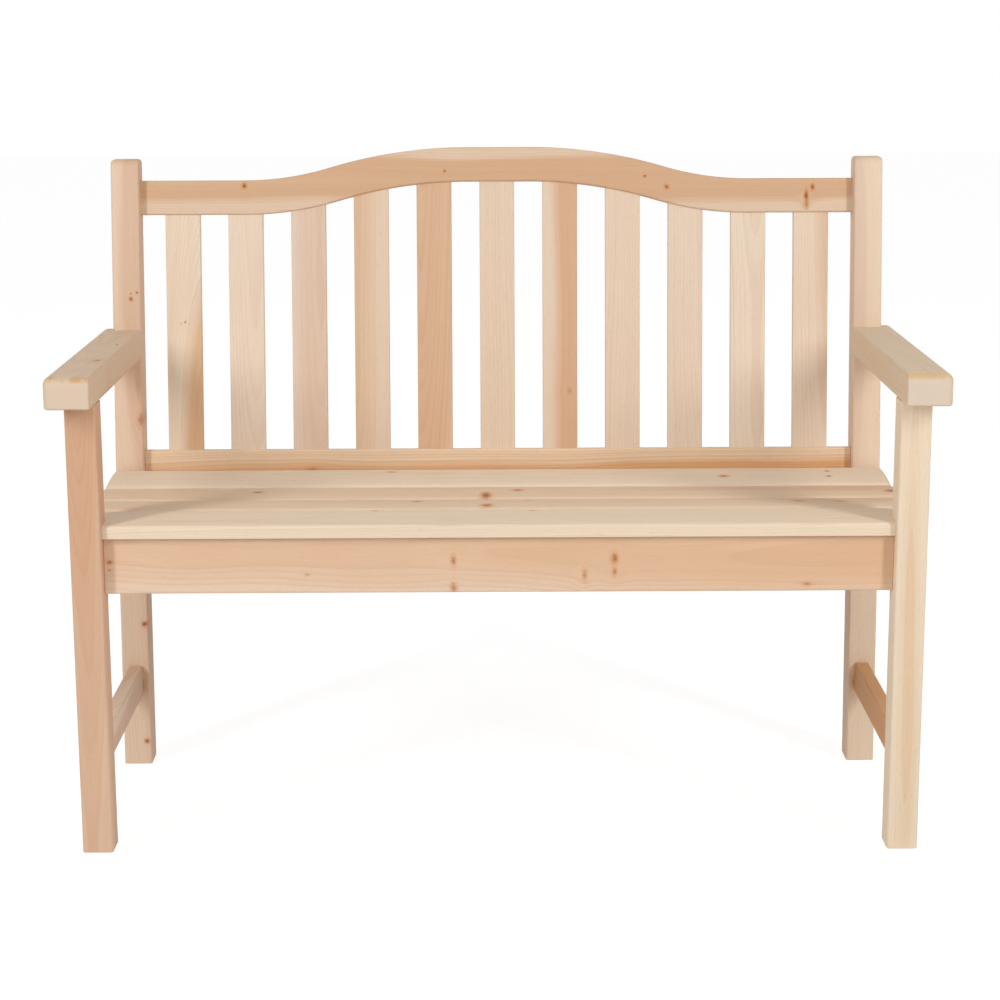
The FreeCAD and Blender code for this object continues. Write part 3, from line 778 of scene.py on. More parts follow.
    def shade(self) -> None:
        """Colour, roughness and relief of the board."""
        finish = self.finish
        place = self.local()
        bent_place = self.bent(place)
        radius, late, own = self.rings(bent_place)
        band = self.pattern(bent_place, self.band_lengths, 2.3, 3.0, 0.55)
        cloud = self.pattern(place, self.cloud_lengths, 4.7, 1.0)
        fibre = self.pattern(bent_place, self.fibre_lengths, 1.3, 2.0, 0.6)
        fleck = self.pattern(bent_place, self.fleck_lengths, 6.1, 0.0)
        edge = radius + (band - 0.5) * self.band_reach + (cloud - 0.5) * self.cloud_reach
        warm = 1 - edge.ramp(finish.heart_radius - finish.heart_blur, finish.heart_radius + finish.heart_blur)
        warm = warm + (band - 0.5) * (1.6 * finish.streak) + (own - 0.5) * 0.16
        colour = self.mix(warm.at_least(0.0).at_most(1.0), finish.sap, finish.heart)
        end, rounding = self.end_shares()
        ring = late * (0.36 + own * 0.30) * (0.65 + cloud * 0.7) * (1 - end * 0.6) * finish.ring_depth
        colour = self.mix(ring, colour, finish.late)
        dash = fleck.ramp(0.66, 0.80) * 0.20
        colour = self.mix(dash, colour, finish.late)
        shade = 0.955 + fibre * 0.09
        colour = self.mix(1.0, colour, self.vector(shade, shade, shade), "MULTIPLY")
        colour = self.mix(end * finish.end_share, colour, finish.end_grain)
        colour = self.mix(rounding * band.ramp(0.36, 0.60) * finish.arris_share, colour, finish.arris)
        colour, knot = self.knot_tints(colour, place)
        roughness = 0.56 + fibre * 0.14 - late * 0.05 - knot * 0.16 + end * 0.10
        relief = fibre * 0.5 - late * 0.6 - dash * 1.5 + knot * 0.8
        inputs = {"Base Color": colour, "Roughness": roughness, "Specular IOR Level": self.shine}
        self.surface(inputs, relief, self.relief_strength, self.relief_depth)


@dataclass(frozen=True)
class ZincFinish:
    """Zinc-plated steel with faint passivation tints and turning marks."""

    plate: Colour = tone(196, 199, 203)
    tint: Colour = tone(206, 196, 170)
    roughness: float = 0.32
    cloud_length: float = 0.007
    scratch_lengths: tuple[float, float, float] = (0.0004, 0.003, 0.003)
    relief_strength: float = 0.2
    relief_depth: float = 0.00006

    def material(self, name: str) -> Material:
        """Material of the fixings."""
        material = bpy.data.materials.new(name)
        graph = Graph(emptied(material))
        place = graph.split(graph.node("ShaderNodeTexCoord", output="Object"))
        cloud = graph.noise(graph.vector(*[value / self.cloud_length for value in place]), 3.0)
        counts = [value / length for value, length in zip(place, self.scratch_lengths)]
        scratch = graph.noise(graph.vector(*counts), 2.0)
        colour = graph.mix(cloud.ramp(0.40, 0.68) * 0.55, self.plate, self.tint)
        roughness = self.roughness + (scratch - 0.5) * 0.22 + (cloud - 0.5) * 0.16
        inputs = {"Base Color": colour, "Metallic": 1.0, "Roughness": roughness}
        graph.surface(inputs, scratch, self.relief_strength, self.relief_depth)
        return material


# Lines that the pieces share

@dataclass(frozen=True)
class PostLine:
    """Side view of the rear posts: straight below, raked back and tapered above one soft bend."""

    lower_rake: float = math.radians(2.8)
    upper_rake: float = math.radians(7.6)
    bend_height: float = 0.475
    bend_radius: float = 0.400
    depth: float = 0.048
    top_depth: float = 0.040
    top_radius: float = 0.012

    @property
    def top(self) -> float:
        """Height of the posts."""
        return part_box("rear_post_left")[1].z

    @property
    def foot_y(self) -> float:
        """Front of the post at the floor."""
        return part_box("rear_post_left")[0].y

    @property
    def bend_y(self) -> float:
        """Front of the post where its two slopes meet."""
        return self.foot_y + self.bend_height * math.tan(self.lower_rake)

    def lower_y(self, inset: float, height: float) -> float:
        """Y on the lower slope, some way behind the front face."""
        return self.foot_y + height * math.tan(self.lower_rake) + inset / math.cos(self.lower_rake)

    def upper_y(self, inset: float, height: float) -> float:
        """Y on the upper slope, some way behind the front face."""
        rise = height - self.bend_height
        return self.bend_y + rise * math.tan(self.upper_rake) + inset / math.cos(self.upper_rake)

    def inset(self, height: float) -> float:
        """Depth of the post at a height above the bend."""
        rise_share = (height - self.bend_height) / (self.top - self.bend_height)
        return self.depth + (self.top_depth - self.depth) * rise_share

    @property
    def rear_rake(self) -> float:
        """Rake of the tapered rear face above the bend."""
        taper = (self.top_depth - self.depth) / (self.top - self.bend_height) / math.cos(self.upper_rake)
        return math.atan(math.tan(self.upper_rake) + taper)

    def face_y(self, corner: Point, upper: float, radius: float, inward: int, height: float) -> float:
        """Y of a face at a height.

        Args:
            corner: Y and height where the face's two slopes would meet.
            upper: Rake of the upper slope.
            radius: Radius of the bend between the slopes.
            inward: Sign along Y of the way into the post.
            height: Where on the post.

        Returns:
            The Y, on a slope, in the bend or in the rounding of the top.
        """
        lower = self.lower_rake
        dome_z = self.top - self.top_radius
        if height > dome_z + inward * self.top_radius * math.sin(upper):
            slope_y = corner[0] + (dome_z - corner[1]) * math.tan(upper)
            drop = math.sqrt(max(0.0, self.top_radius ** 2 - (height - dome_z) ** 2))
            return slope_y + inward * (self.top_radius / math.cos(upper) - drop)
        tangent = radius * math.tan((upper - lower) / 2)
        centre_y = corner[0] - tangent * math.sin(lower) + radius * math.cos(lower)
        centre_z = corner[1] - tangent * math.cos(lower) - radius * math.sin(lower)
        if height <= centre_z + radius * math.sin(lower):
            return corner[0] + (height - corner[1]) * math.tan(lower)
        if height >= centre_z + radius * math.sin(upper):
            return corner[0] + (height - corner[1]) * math.tan(upper)
        return centre_y - math.sqrt(radius ** 2 - (height - centre_z) ** 2)

    def front(self, height: float) -> float:
        """Y of the front face."""
        corner = (self.bend_y, self.bend_height)
        return self.face_y(corner, self.upper_rake, self.bend_radius + self.depth, 1, height)

    def rear(self, height: float) -> float:
        """Y of the rear face, which tapers above the bend."""
        shift = self.depth * (1 / math.cos(self.upper_rake) - 1 / math.cos(self.lower_rake))
        bend = self.bend_height + shift / (math.tan(self.lower_rake) - math.tan(self.rear_rake))
        corner = (self.lower_y(self.depth, bend), bend)
        return self.face_y(corner, self.rear_rake, self.bend_radius, -1, height)

    def panel(self, behind: float = 0.0, rise: float = 0.0, x: float = 0.0) -> BoardFrame:
        """Frame of the back: along X and up the slope, from a place behind the posts' front plane."""
        up, back = leaning(self.upper_rake)
        origin = Vector((x, self.bend_y, self.bend_height)) + back * behind + up * rise
        return BoardFrame(origin, X_AXIS, up)


@dataclass(frozen=True)
class ArmLine:
    """Side view of the arms, which slope down from the front legs to the posts."""

    post: PostLine
    slope: float = math.radians(0.6)
    thickness: float = 0.044
    ear_length: float = 0.020

    def floor(self, y: float) -> float:
        """Height of the underside."""
        low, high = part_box("front_leg_left")
        return high.z - (y - low.y) * math.tan(self.slope)

    def rear(self, rise: float) -> Point:
        """Y and height where a line of the arm, some way above its underside, ends behind."""
        run = self.post.upper_y(self.ear_length, self.floor(0.0) + rise)
        y = run / (1 + math.tan(self.post.upper_rake) * math.tan(self.slope))
        return y, self.floor(y) + rise

    def screw(self) -> Point:
        """How far up the back's slope the arm's screw lies, and the depth of the post there."""
        _, height = self.rear(self.thickness / 2)
        rise = (height - self.post.bend_height) / math.cos(self.post.upper_rake)
        return rise, self.post.inset(height)


@dataclass(frozen=True)
class Arch:
    """Camel-back line of the top rail, in the back's own plane."""

    crown_top: float
    shoulder_top: float
    crest_end: float
    shoulder_end: float
    shoulder_radius: float

    @property
    def turn(self) -> float:
        """Angle that each of the two arcs turns through."""
        rise = self.crown_top - self.shoulder_top
        return 2 * math.atan(rise / (self.shoulder_end - self.crest_end))

    @property
    def crown_radius(self) -> float:
        """Radius of the crown's arcs."""
        return (self.shoulder_end - self.crest_end) / math.sin(self.turn) - self.shoulder_radius

    def height(self, tree: MeshTree, x: Value, depth: Value) -> Value:
        """Height of the line at a depth under the top edge.

        Args:
            tree: Tree that gets the sums.
            x: Place along the bench.
            depth: Distance under the top edge.

        Returns:
            The height in the back's plane.
        """
        crown_top, shoulder_top, crest_end, shoulder_end, shoulder_radius, crown_radius = tree.sizes(
            **asdict(self), crown_radius=self.crown_radius)
        reach = abs(x)
        convex = crown_radius - depth
        hollow = shoulder_radius + depth
        crown = crown_top - crown_radius + convex.leg((reach - crest_end).at_least(0.0))
        sag = shoulder_top + shoulder_radius - hollow.leg((shoulder_end - reach).at_least(0.0))
        beyond = reach.above(crest_end + convex * math.sin(self.turn))
        return crown + (sag - crown) * beyond


@dataclass(kw_only=True)
class Assembly:
    """Boards that belong together, with the sizes that all boards share."""

    line: PostLine
    finishes: Mapping[str, BoardFinish]
    edge_radius: float = 0.003
    seam: float = 0.0004
    fit: float = 0.0002
    room: float = 0.012
    nut_pocket_radius: float = 0.0052
    nut_pocket_inset: float = 0.0072

    def material(self, node: str, board: BoardFrame) -> Material:
        """Wood that was picked for a node."""
        return BoardMaterial(node, board, self.finishes[node]).material

    def board(self, node: str, slot: Slot, board: BoardFrame, corner_steps: int = 5) -> Board:
        """Board of a node, in its own wood."""
        return Board(node, slot, board, self.material(node, board), corner_steps)

    def nut_pockets(self, node: str, outward: Vector, reach: float) -> list[Mesh]:
        """Bars that clear the barrel nuts inside a rail, some way out to one of its faces."""
        low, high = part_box(node)
        middles = [(nut_low + nut_high) / 2 for nut_low, nut_high in islands("barrel_nuts")]
        return [
            bore(middle - outward * self.nut_pocket_inset, middle + outward * reach, self.nut_pocket_radius)
            for middle in middles
            if all(low[axis] < middle[axis] < high[axis] for axis in range(3))
        ]


# Side frames

@dataclass(kw_only=True)
class SideFrame(Assembly):
    """One side of the bench: front leg, rear post, arm and stretcher."""

    side: Side
    arm_line: ArmLine
    post_side_radius: float = 0.005
    post_end_steps: int = 9
    dome_steps: int = 7
    bend_reach: float = 0.045
    bend_step: float = 0.006
    arm_nose_radius: float = 0.014
    arm_top_radius: float = 0.010
    arm_end_steps: int = 14
    arm_corner_steps: int = 9
    screw_head_radius: float = 0.006
    screw_head_depth: float = 0.004

    def front_leg(self) -> None:
        """Square leg with eased edges."""
        node = self.side.node("front_leg")
        middle, half = centred(node)
        section = Section.about(half.x, half.y, even(self.edge_radius))
        slope = math.tan(self.arm_line.slope)
        cuts = EndCut(), EndCut(even(self.seam), -slope)
        board = self.board(node, Slot.FRAME, BoardFrame(middle, Z_AXIS, X_AXIS))
        board.loft(-half.z, half.z - slope * half.y, section, cuts=cuts)

    def rear_post(self) -> None:
        """Post sawn to its bend, with a rounded top and the counterbore of the arm's screw."""
        node = self.side.node("rear_post")
        low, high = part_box(node)
        middle, half = centred(node)
        line = self.line

        def section(height: float) -> Section:
            """Level section of the post."""
            return Section((-half.x, line.front(height)), (half.x, line.rear(height)), even(self.edge_radius))

        steps = math.ceil(2 * self.bend_reach / self.bend_step)
        bend_start = line.bend_height - self.bend_reach
        stops = [bend_start + index * self.bend_step for index in range(steps + 1)]
        dome_start = high.z - line.top_radius * (1 + math.sin(line.rear_rake))
        dome_end = high.z - self.post_side_radius - self.edge_radius / 2
        dome_step = (dome_end - dome_start) / self.dome_steps
        stops += [dome_start + index * dome_step for index in range(self.dome_steps + 1)]
        top = EndCut((self.post_side_radius, self.post_side_radius, 0.0, 0.0), steps=self.post_end_steps)
        rise, depth = self.arm_line.screw()
        inner, outer = [
            line.panel(behind, rise, middle.x).origin
            for behind in (depth - self.screw_head_depth, depth + self.room)]
        hole = bore(inner, outer, self.screw_head_radius + self.fit)
        upright, grain = [
            BoardFrame(Vector((middle.x, *place)), Z_AXIS, X_AXIS)
            for place in ((0, 0), (line.bend_y + line.depth / 2, line.bend_height))]
        board = Board(node, Slot.FRAME, upright, self.material(node, grain))
        board.loft(low.z, high.z, section, stops, (EndCut(), top), [hole])

    def arm(self) -> None:
        """Arm with a rounded nose and top, notched round the post."""
        node = self.side.node("arm")
        low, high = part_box(node)
        middle, half = centred(node)
        line = self.arm_line
        middle.z = line.floor(middle.y) + line.thickness / 2
        along = Vector((0, math.cos(line.slope), -math.sin(line.slope)))
        sides = (self.edge_radius, self.arm_top_radius)[::-self.side.value]
        radii = (self.edge_radius, self.edge_radius, sides[1], sides[0])
        section = Section.about(half.x, line.thickness * math.cos(line.slope) / 2, radii)
        nose_sides = (*sides, self.edge_radius, self.arm_nose_radius)
        nose = EndCut(nose_sides, -math.tan(line.slope), self.arm_end_steps)
        rear = EndCut(lean=math.tan(self.line.upper_rake - line.slope))
        start, end = [
            (y - middle.y) / math.cos(line.slope) for y in (low.y, line.rear(line.thickness / 2)[0])]
        bottom, top = low.z - self.room, high.z + self.room
        corners = ((0.0, bottom), (self.line.depth, bottom), (self.line.depth, top), (0.0, top))
        outline = [(self.line.upper_y(inset, height), height) for inset, height in corners]
        inner_x, outer_x = sorted((box.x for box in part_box(self.side.node("rear_post"))), key=abs)
        notch = prism(outline, inner_x - self.side.value * self.room, outer_x)
        frame_axes = BoardFrame(middle, along, -X_AXIS)
        board = self.board(node, Slot.FRAME, frame_axes, self.arm_corner_steps)
        board.loft(start, end, section, cuts=(nose, rear), trims=[notch])

    def stretcher(self) -> None:
        """Low rail between the leg and the post."""
        node = self.side.node("side_stretcher")
        middle, half = centred(node)
        leg_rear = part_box(self.side.node("front_leg"))[1].y
        end = self.line.lower_y(0.0, middle.z)
        middle.y = (leg_rear + end) / 2
        section = Section.about(half.x, half.z, even(self.edge_radius))
        reach = (end - leg_rear) / 2
        sharp = even(self.seam)
        cuts = EndCut(sharp), EndCut(sharp, math.tan(self.line.lower_rake))
        board = self.board(node, Slot.RAIL, BoardFrame(middle, Y_AXIS, -X_AXIS))
        board.loft(-reach, reach, section, cuts=cuts)

    def build(self) -> None:
        """Make the four boards of this side."""
        self.front_leg()
        self.rear_post()
        self.arm()
        self.stretcher()


# Seat

@dataclass(frozen=True, eq=False)
class SeatRow:
    """Place of one seat slat: its top front corner, the way across it and the way out of its top."""

    front: Vector
    across: Vector
    normal: Vector


@dataclass(kw_only=True)
class Seat(Assembly):
    """Slats of the seat and the rails and supports that carry them."""

    slat_width: float = 0.094
    slat_thickness: float = 0.019
    slat_gap: float = 0.005
    slat_radius: float = 0.005
    slat_front_radius: float = 0.0095
    slat_rear_radius: float = 0.0090
    slat_end_steps: int = 8
    crowns: tuple[float, ...] = (0.0006, 0.0024, 0.0024, 0.0020)
    crown_lifts: tuple[float, ...] = (0.0, 0.0014, 0.0014, 0.0014)
    tilts: tuple[float, ...] = (1.2, -4.6, -1.3, 3.5)
    arris: float = 0.001
    apron_advance: float = 0.006
    rear_rail_setback: float = 0.014
    rear_rail_thickness: float = 0.020
    stop_gap: float = 0.004
    screw_bore_radius: float = 0.0042
    screw_head_depth: float = 0.0025

    def rows(self) -> list[SeatRow]:
        """Slats from front to rear, each starting a gap behind the one before."""
        low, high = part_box("seat_slat_1")
        front = Vector((0, low.y, high.z))
        rows = []
        for degrees in self.tilts:
            normal, across = leaning(-math.radians(degrees))
            rows.append(SeatRow(front, across, normal))
            front = front + across * self.slat_width + Y_AXIS * self.slat_gap
        return rows

    def slats(self) -> None:
        """Boards with rounded top edges; the front one is notched round the legs."""
        half_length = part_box("seat_slat_2")[1].x
        half_width, half_thickness = self.slat_width / 2, self.slat_thickness / 2
        end = EndCut((self.arris, self.arris, self.arris, self.slat_radius), steps=self.slat_end_steps)
        for index, row in enumerate(self.rows()):
            rear_radius = self.arris if index == len(self.tilts) - 1 else self.slat_rear_radius
            front_radius = self.slat_front_radius if index else self.slat_radius
            top = half_width, half_thickness + self.crown_lifts[index]
            radii = (self.arris, self.arris, rear_radius, front_radius)
            section = Section((-half_width, -half_thickness), top, radii, self.crowns[index])
            middle = row.front + row.across * half_width - row.normal * half_thickness
            notches = [] if index else [self.leg_notch(side) for side in Side]
            board = self.board(f"seat_slat_{index + 1}", Slot.SEAT, BoardFrame(middle, X_AXIS, row.across))
            board.loft(-half_length, half_length, section, cuts=(end, end), trims=notches)

    def leg_notch(self, side: Side) -> Mesh:
        """Block that clears a front leg."""
        low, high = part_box(side.node("front_leg"))
        front, rear = low.y - self.room, high.y + self.fit
        bottom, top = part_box("seat_slat_1")[0].z - self.room, high.z
        corners = [(front, bottom), (rear, bottom), (rear, top), (front, top)]
        inner, outer = sorted((low.x, high.x), key=abs)
        return prism(corners, inner - side.value * self.fit, outer + side.value * self.room)

    def apron(self) -> None:
        """Front rail under the slats, with the pockets of its nuts behind."""
        node = "front_apron"
        middle, half = centred(node)
        radii = (self.edge_radius, self.arris, self.edge_radius, self.edge_radius)
        section = Section((-half.z, -half.y), (half.z, half.y + self.apron_advance), radii)
        pockets = self.nut_pockets(node, Y_AXIS, self.line.depth / 2)
        board = self.board(node, Slot.RAIL, BoardFrame(middle, X_AXIS, Z_AXIS))
        board.loft(-half.x, half.x, section, trims=pockets)

    def rear_rail(self) -> None:
        """Rail between the posts, raked as they are."""
        node = "rear_seat_rail"
        middle, half = centred(node)
        up, back = leaning(self.line.lower_rake)
        half_thickness = self.rear_rail_thickness / 2
        middle.y = self.line.lower_y(self.rear_rail_setback + half_thickness, middle.z)
        half_height = half.z / math.cos(self.line.lower_rake)
        section = Section.about(half_height, half_thickness, even(self.edge_radius))
        pockets = self.nut_pockets(node, -back, self.line.depth / 2)
        board = self.board(node, Slot.RAIL, BoardFrame(middle, X_AXIS, up))
        board.loft(-half.x, half.x, section, trims=pockets)

    def contour(self) -> list[Point]:
        """Y and height of the undersides of the slats, front to rear."""
        points = []
        for row in self.rows():
            under = row.front - row.normal * self.slat_thickness
            rear = under + row.across * self.slat_width
            points += [(under.y, under.z), (rear.y, rear.z)]
        return points

    def seat_top(self, y: float) -> float:
        """Height of the supports' tops at a Y."""
        points = self.contour()
        for (y0, z0), (y1, z1) in zip(points, points[1:]):
            if y0 <= y <= y1:
                return z0 + (z1 - z0) * (y - y0) / (y1 - y0)
        return points[0][1] if y < points[0][0] else points[-1][1]

    def support(self, node: str, start: float, end_inset: float) -> None:
        """Board on edge whose top carries each slat on a flat of its own.

        Args:
            node: The board's node.
            start: Y of its front end.
            end_inset: How far behind the posts' front plane it ends.
        """
        middle, half = centred(node)
        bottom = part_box("side_seat_rail_left")[0].z
        origin = Vector((middle.x, 0, bottom))
        radii = (self.edge_radius, self.edge_radius, self.arris, self.arris)

        def section(y: float) -> Section:
            """Upright section of the board."""
            return Section((-half.x, 0.0), (half.x, self.seat_top(y) - bottom), radii)

        end = self.line.lower_y(end_inset, bottom)
        stops = [y for y, _ in self.contour() if start + self.stop_gap < y < end - self.stop_gap]
        sharp = even(self.seam)
        cuts = EndCut(sharp), EndCut(sharp, math.tan(self.line.lower_rake))
        bores = []
        for low, high in islands("seat_screws"):
            screw = (low + high) / 2
            if abs(screw.x - middle.x) < half.x:
                heights = bottom - self.room, low.z + self.screw_head_depth
                ends = [Vector((middle.x, screw.y, height)) for height in heights]
                bores.append(bore(*ends, self.screw_bore_radius))
        board = self.board(node, Slot.RAIL, BoardFrame(origin, Y_AXIS, -X_AXIS))
        board.loft(start, end, section, stops, cuts, bores)

    def build(self) -> None:
        """Make the seat's boards."""
        self.slats()
        self.apron()
        self.rear_rail()
        leg_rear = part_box("front_leg_left")[1].y
        for side in Side:
            self.support(side.node("side_seat_rail"), leg_rear, 0.0)
        self.support("centre_seat_support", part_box("front_apron")[1].y, self.rear_rail_setback)


# Back

@dataclass(kw_only=True)
class Back(Assembly):
    """Camel-back panel: arched top rail, lower rail and slats between them."""

    rail_thickness: float = 0.022
    rail_setback: float = 0.016
    rail_smooth_angle: float = math.radians(28)
    bottom_drop: float = 0.0105
    bottom_height: float = 0.0330
    top_height: float = 0.052
    top_drop: float = 0.0303
    crown_rise: float = 0.0492
    crest_flat: float = 0.090
    shoulder_flat: float = 0.162
    shoulder_radius: float = 0.449
    edge_steps: int = 5
    arch_steps: int = 240
    slat_count: int = 11
    slat_width: float = 0.0535
    slat_thickness: float = 0.014
    slat_bevel: float = 0.0015
    slat_end_gap: float = 0.037
    slat_housing: float = 0.010
    slat_smooth_angle: float = math.radians(16)
    slat_merge: float = 1e-5

    @property
    def half_length(self) -> float:
        """Half of the clear width between the posts."""
        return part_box("rear_post_right")[0].x

    @property
    def rail_middle(self) -> float:
        """Distance of the rails' middle plane behind the posts' front plane."""
        return self.rail_setback + self.rail_thickness / 2

    @property
    def slat_reach(self) -> float:
        """Distance between the middles of the outer slats."""
        return 2 * (self.half_length - self.slat_end_gap) - self.slat_width

    def arch(self) -> Arch:
        """Line of the top rail's upper edge."""
        rise = (self.line.top - self.line.bend_height) / math.cos(self.line.upper_rake)
        shoulder_top = rise - self.top_drop
        return Arch(
            crown_top=shoulder_top + self.crown_rise,
            shoulder_top=shoulder_top,
            crest_end=self.crest_flat / 2,
            shoulder_end=self.half_length - self.shoulder_flat,
            shoulder_radius=self.shoulder_radius)

    def pockets(self, node: str) -> list[Mesh]:
        """Bars that clear the nuts of a rail, out to its rear face."""
        return self.nut_pockets(node, leaning(self.line.upper_rake)[1], self.rail_thickness)

    def stood(self, mesh: Mesh) -> Mesh:
        """A mesh drawn with X along the bench, Y behind the rails' middle and Z up, in its place."""
        panel = self.line.panel(self.rail_middle)
        mesh.transform(axes_matrix(panel.along, -panel.through, panel.across, panel.origin))
        return to_mesh(merged(mesh), mesh.name)

    def top_rail(self) -> None:
        """Rail of even depth that follows the camel-back line."""
        tree = MeshTree("camel_back_rail")
        half_length, height, thickness, radius, steps = tree.sizes(
            half_length=self.half_length, height=self.top_height, thickness=self.rail_thickness,
            edge_radius=self.edge_radius, steps=self.arch_steps)
        ends = {"Start": tree.vector(-half_length, 0.0, 0.0), "End": tree.vector(half_length, 0.0, 0.0)}
        run = tree.node("GeometryNodeCurvePrimitiveLine", ends)
        run = tree.node("GeometryNodeResampleCurve", {"Curve": run, "Count": steps})
        x, _, _ = tree.place()
        path = tree.reshape(run, x, 0.0, self.arch().height(tree, x, height * 0.5))
        path = tree.node("GeometryNodeSetCurveNormal", {"Curve": path}, mode="Z_UP")
        edge = tree.outline(thickness, height, radius, self.edge_steps)
        inputs = {"Curve": path, "Profile Curve": edge, "Fill Caps": True}
        rail = tree.node("GeometryNodeCurveToMesh", inputs)
        node = "back_top_rail"
        middle = self.arch().shoulder_top - self.top_height / 2
        material = self.material(node, self.line.panel(self.rail_middle, middle))
        mesh = trimmed(self.stood(tree.mesh(rail, material)), self.pockets(node))
        settle(mesh, node, Slot.BACK_RAIL, material, self.rail_smooth_angle)

    def bottom_rail(self) -> None:
        """Straight lower rail."""
        node = "back_bottom_rail"
        half_height = self.bottom_height / 2
        section = Section.about(half_height, self.rail_thickness / 2, even(self.edge_radius))
        panel = self.line.panel(self.rail_middle, half_height - self.bottom_drop)
        board = self.board(node, Slot.BACK_RAIL, panel)
        board.loft(-self.half_length, self.half_length, section, trims=self.pockets(node))

    def slat_mesh(self, material: Material) -> Mesh:
        """All slats as one mesh, with the number of each slat as an attribute."""
        tree = MeshTree("back_slats")
        count, width, thickness, bevel, foot, depth, reach = tree.sizes(
            count=self.slat_count, width=self.slat_width, thickness=self.slat_thickness,
            bevel=self.slat_bevel, foot=self.bottom_height - self.bottom_drop - self.slat_housing,
            depth_under_the_arch=self.top_height - self.slat_housing, reach=self.slat_reach)
        edge = tree.outline(width, thickness, bevel, self.edge_steps)
        base = tree.node("GeometryNodeFillCurve", {"Curve": edge}, mode="NGONS")
        top = tree.node("GeometryNodeExtrudeMesh", {"Mesh": base, "Offset": Z_AXIS})
        bar = tree.join(tree.node("GeometryNodeFlipFaces", {"Mesh": base}), top)
        bar = tree.node("GeometryNodeMergeByDistance", {"Geometry": bar, "Distance": self.slat_merge})
        start = tree.vector(reach * -0.5, 0.0, 0.0)
        pitch = tree.vector(reach / (count - 1.0), 0.0, 0.0)
        inputs = {"Count": count, "Start Location": start, "Offset": pitch}
        points = tree.node("GeometryNodeMeshLine", inputs)
        slats = tree.node("GeometryNodeInstanceOnPoints", {"Points": points, "Instance": bar})
        number = {"Geometry": slats, "Name": "slat", "Value": tree.node("GeometryNodeInputIndex")}
        slats = tree.node("GeometryNodeStoreNamedAttribute", number, data_type="INT", domain="INSTANCE")
        x, y, share = tree.place()
        head = self.arch().height(tree, x, depth)
        slats = tree.reshape(tree.real(slats), x, y, foot + (head - foot) * share)
        return self.stood(tree.mesh(slats, material))

    def slats(self) -> None:
        """Slats, each with wood of its own."""
        rise = (self.bottom_height - self.bottom_drop + self.arch().shoulder_top - self.top_height) / 2
        nodes = [f"back_slat_{index + 1:02d}" for index in range(self.slat_count)]
        materials = []
        for index, node in enumerate(nodes):
            x = (index / (self.slat_count - 1) - 0.5) * self.slat_reach
            panel = self.line.panel(self.rail_middle, rise, x)
            materials.append(self.material(node, BoardFrame(panel.origin, panel.across, panel.along)))
        whole = self.slat_mesh(materials[0])
        for index, (node, material) in enumerate(zip(nodes, materials)):
            bm = bmesh.new()
            bm.from_mesh(whole)
            number = bm.verts.layers.int["slat"]
            others = [vert for vert in bm.verts if vert[number] != index]
            bmesh.ops.delete(bm, geom=others, context="VERTS")
            mesh = to_mesh(bm, f"{node}.board")
            settle(mesh, node, Slot.BACK_SLAT, material, self.slat_smooth_angle)
        bpy.data.meshes.remove(whole)

    def build(self) -> None:
        """Make the back's boards."""
        self.top_rail()
        self.bottom_rail()
        self.slats()


# Fixings

@dataclass(frozen=True)
class Fixing:
    """Sizes of a bolt or screw."""

    head_radius: float
    head_thickness: float
    shank_radius: float
    length: float


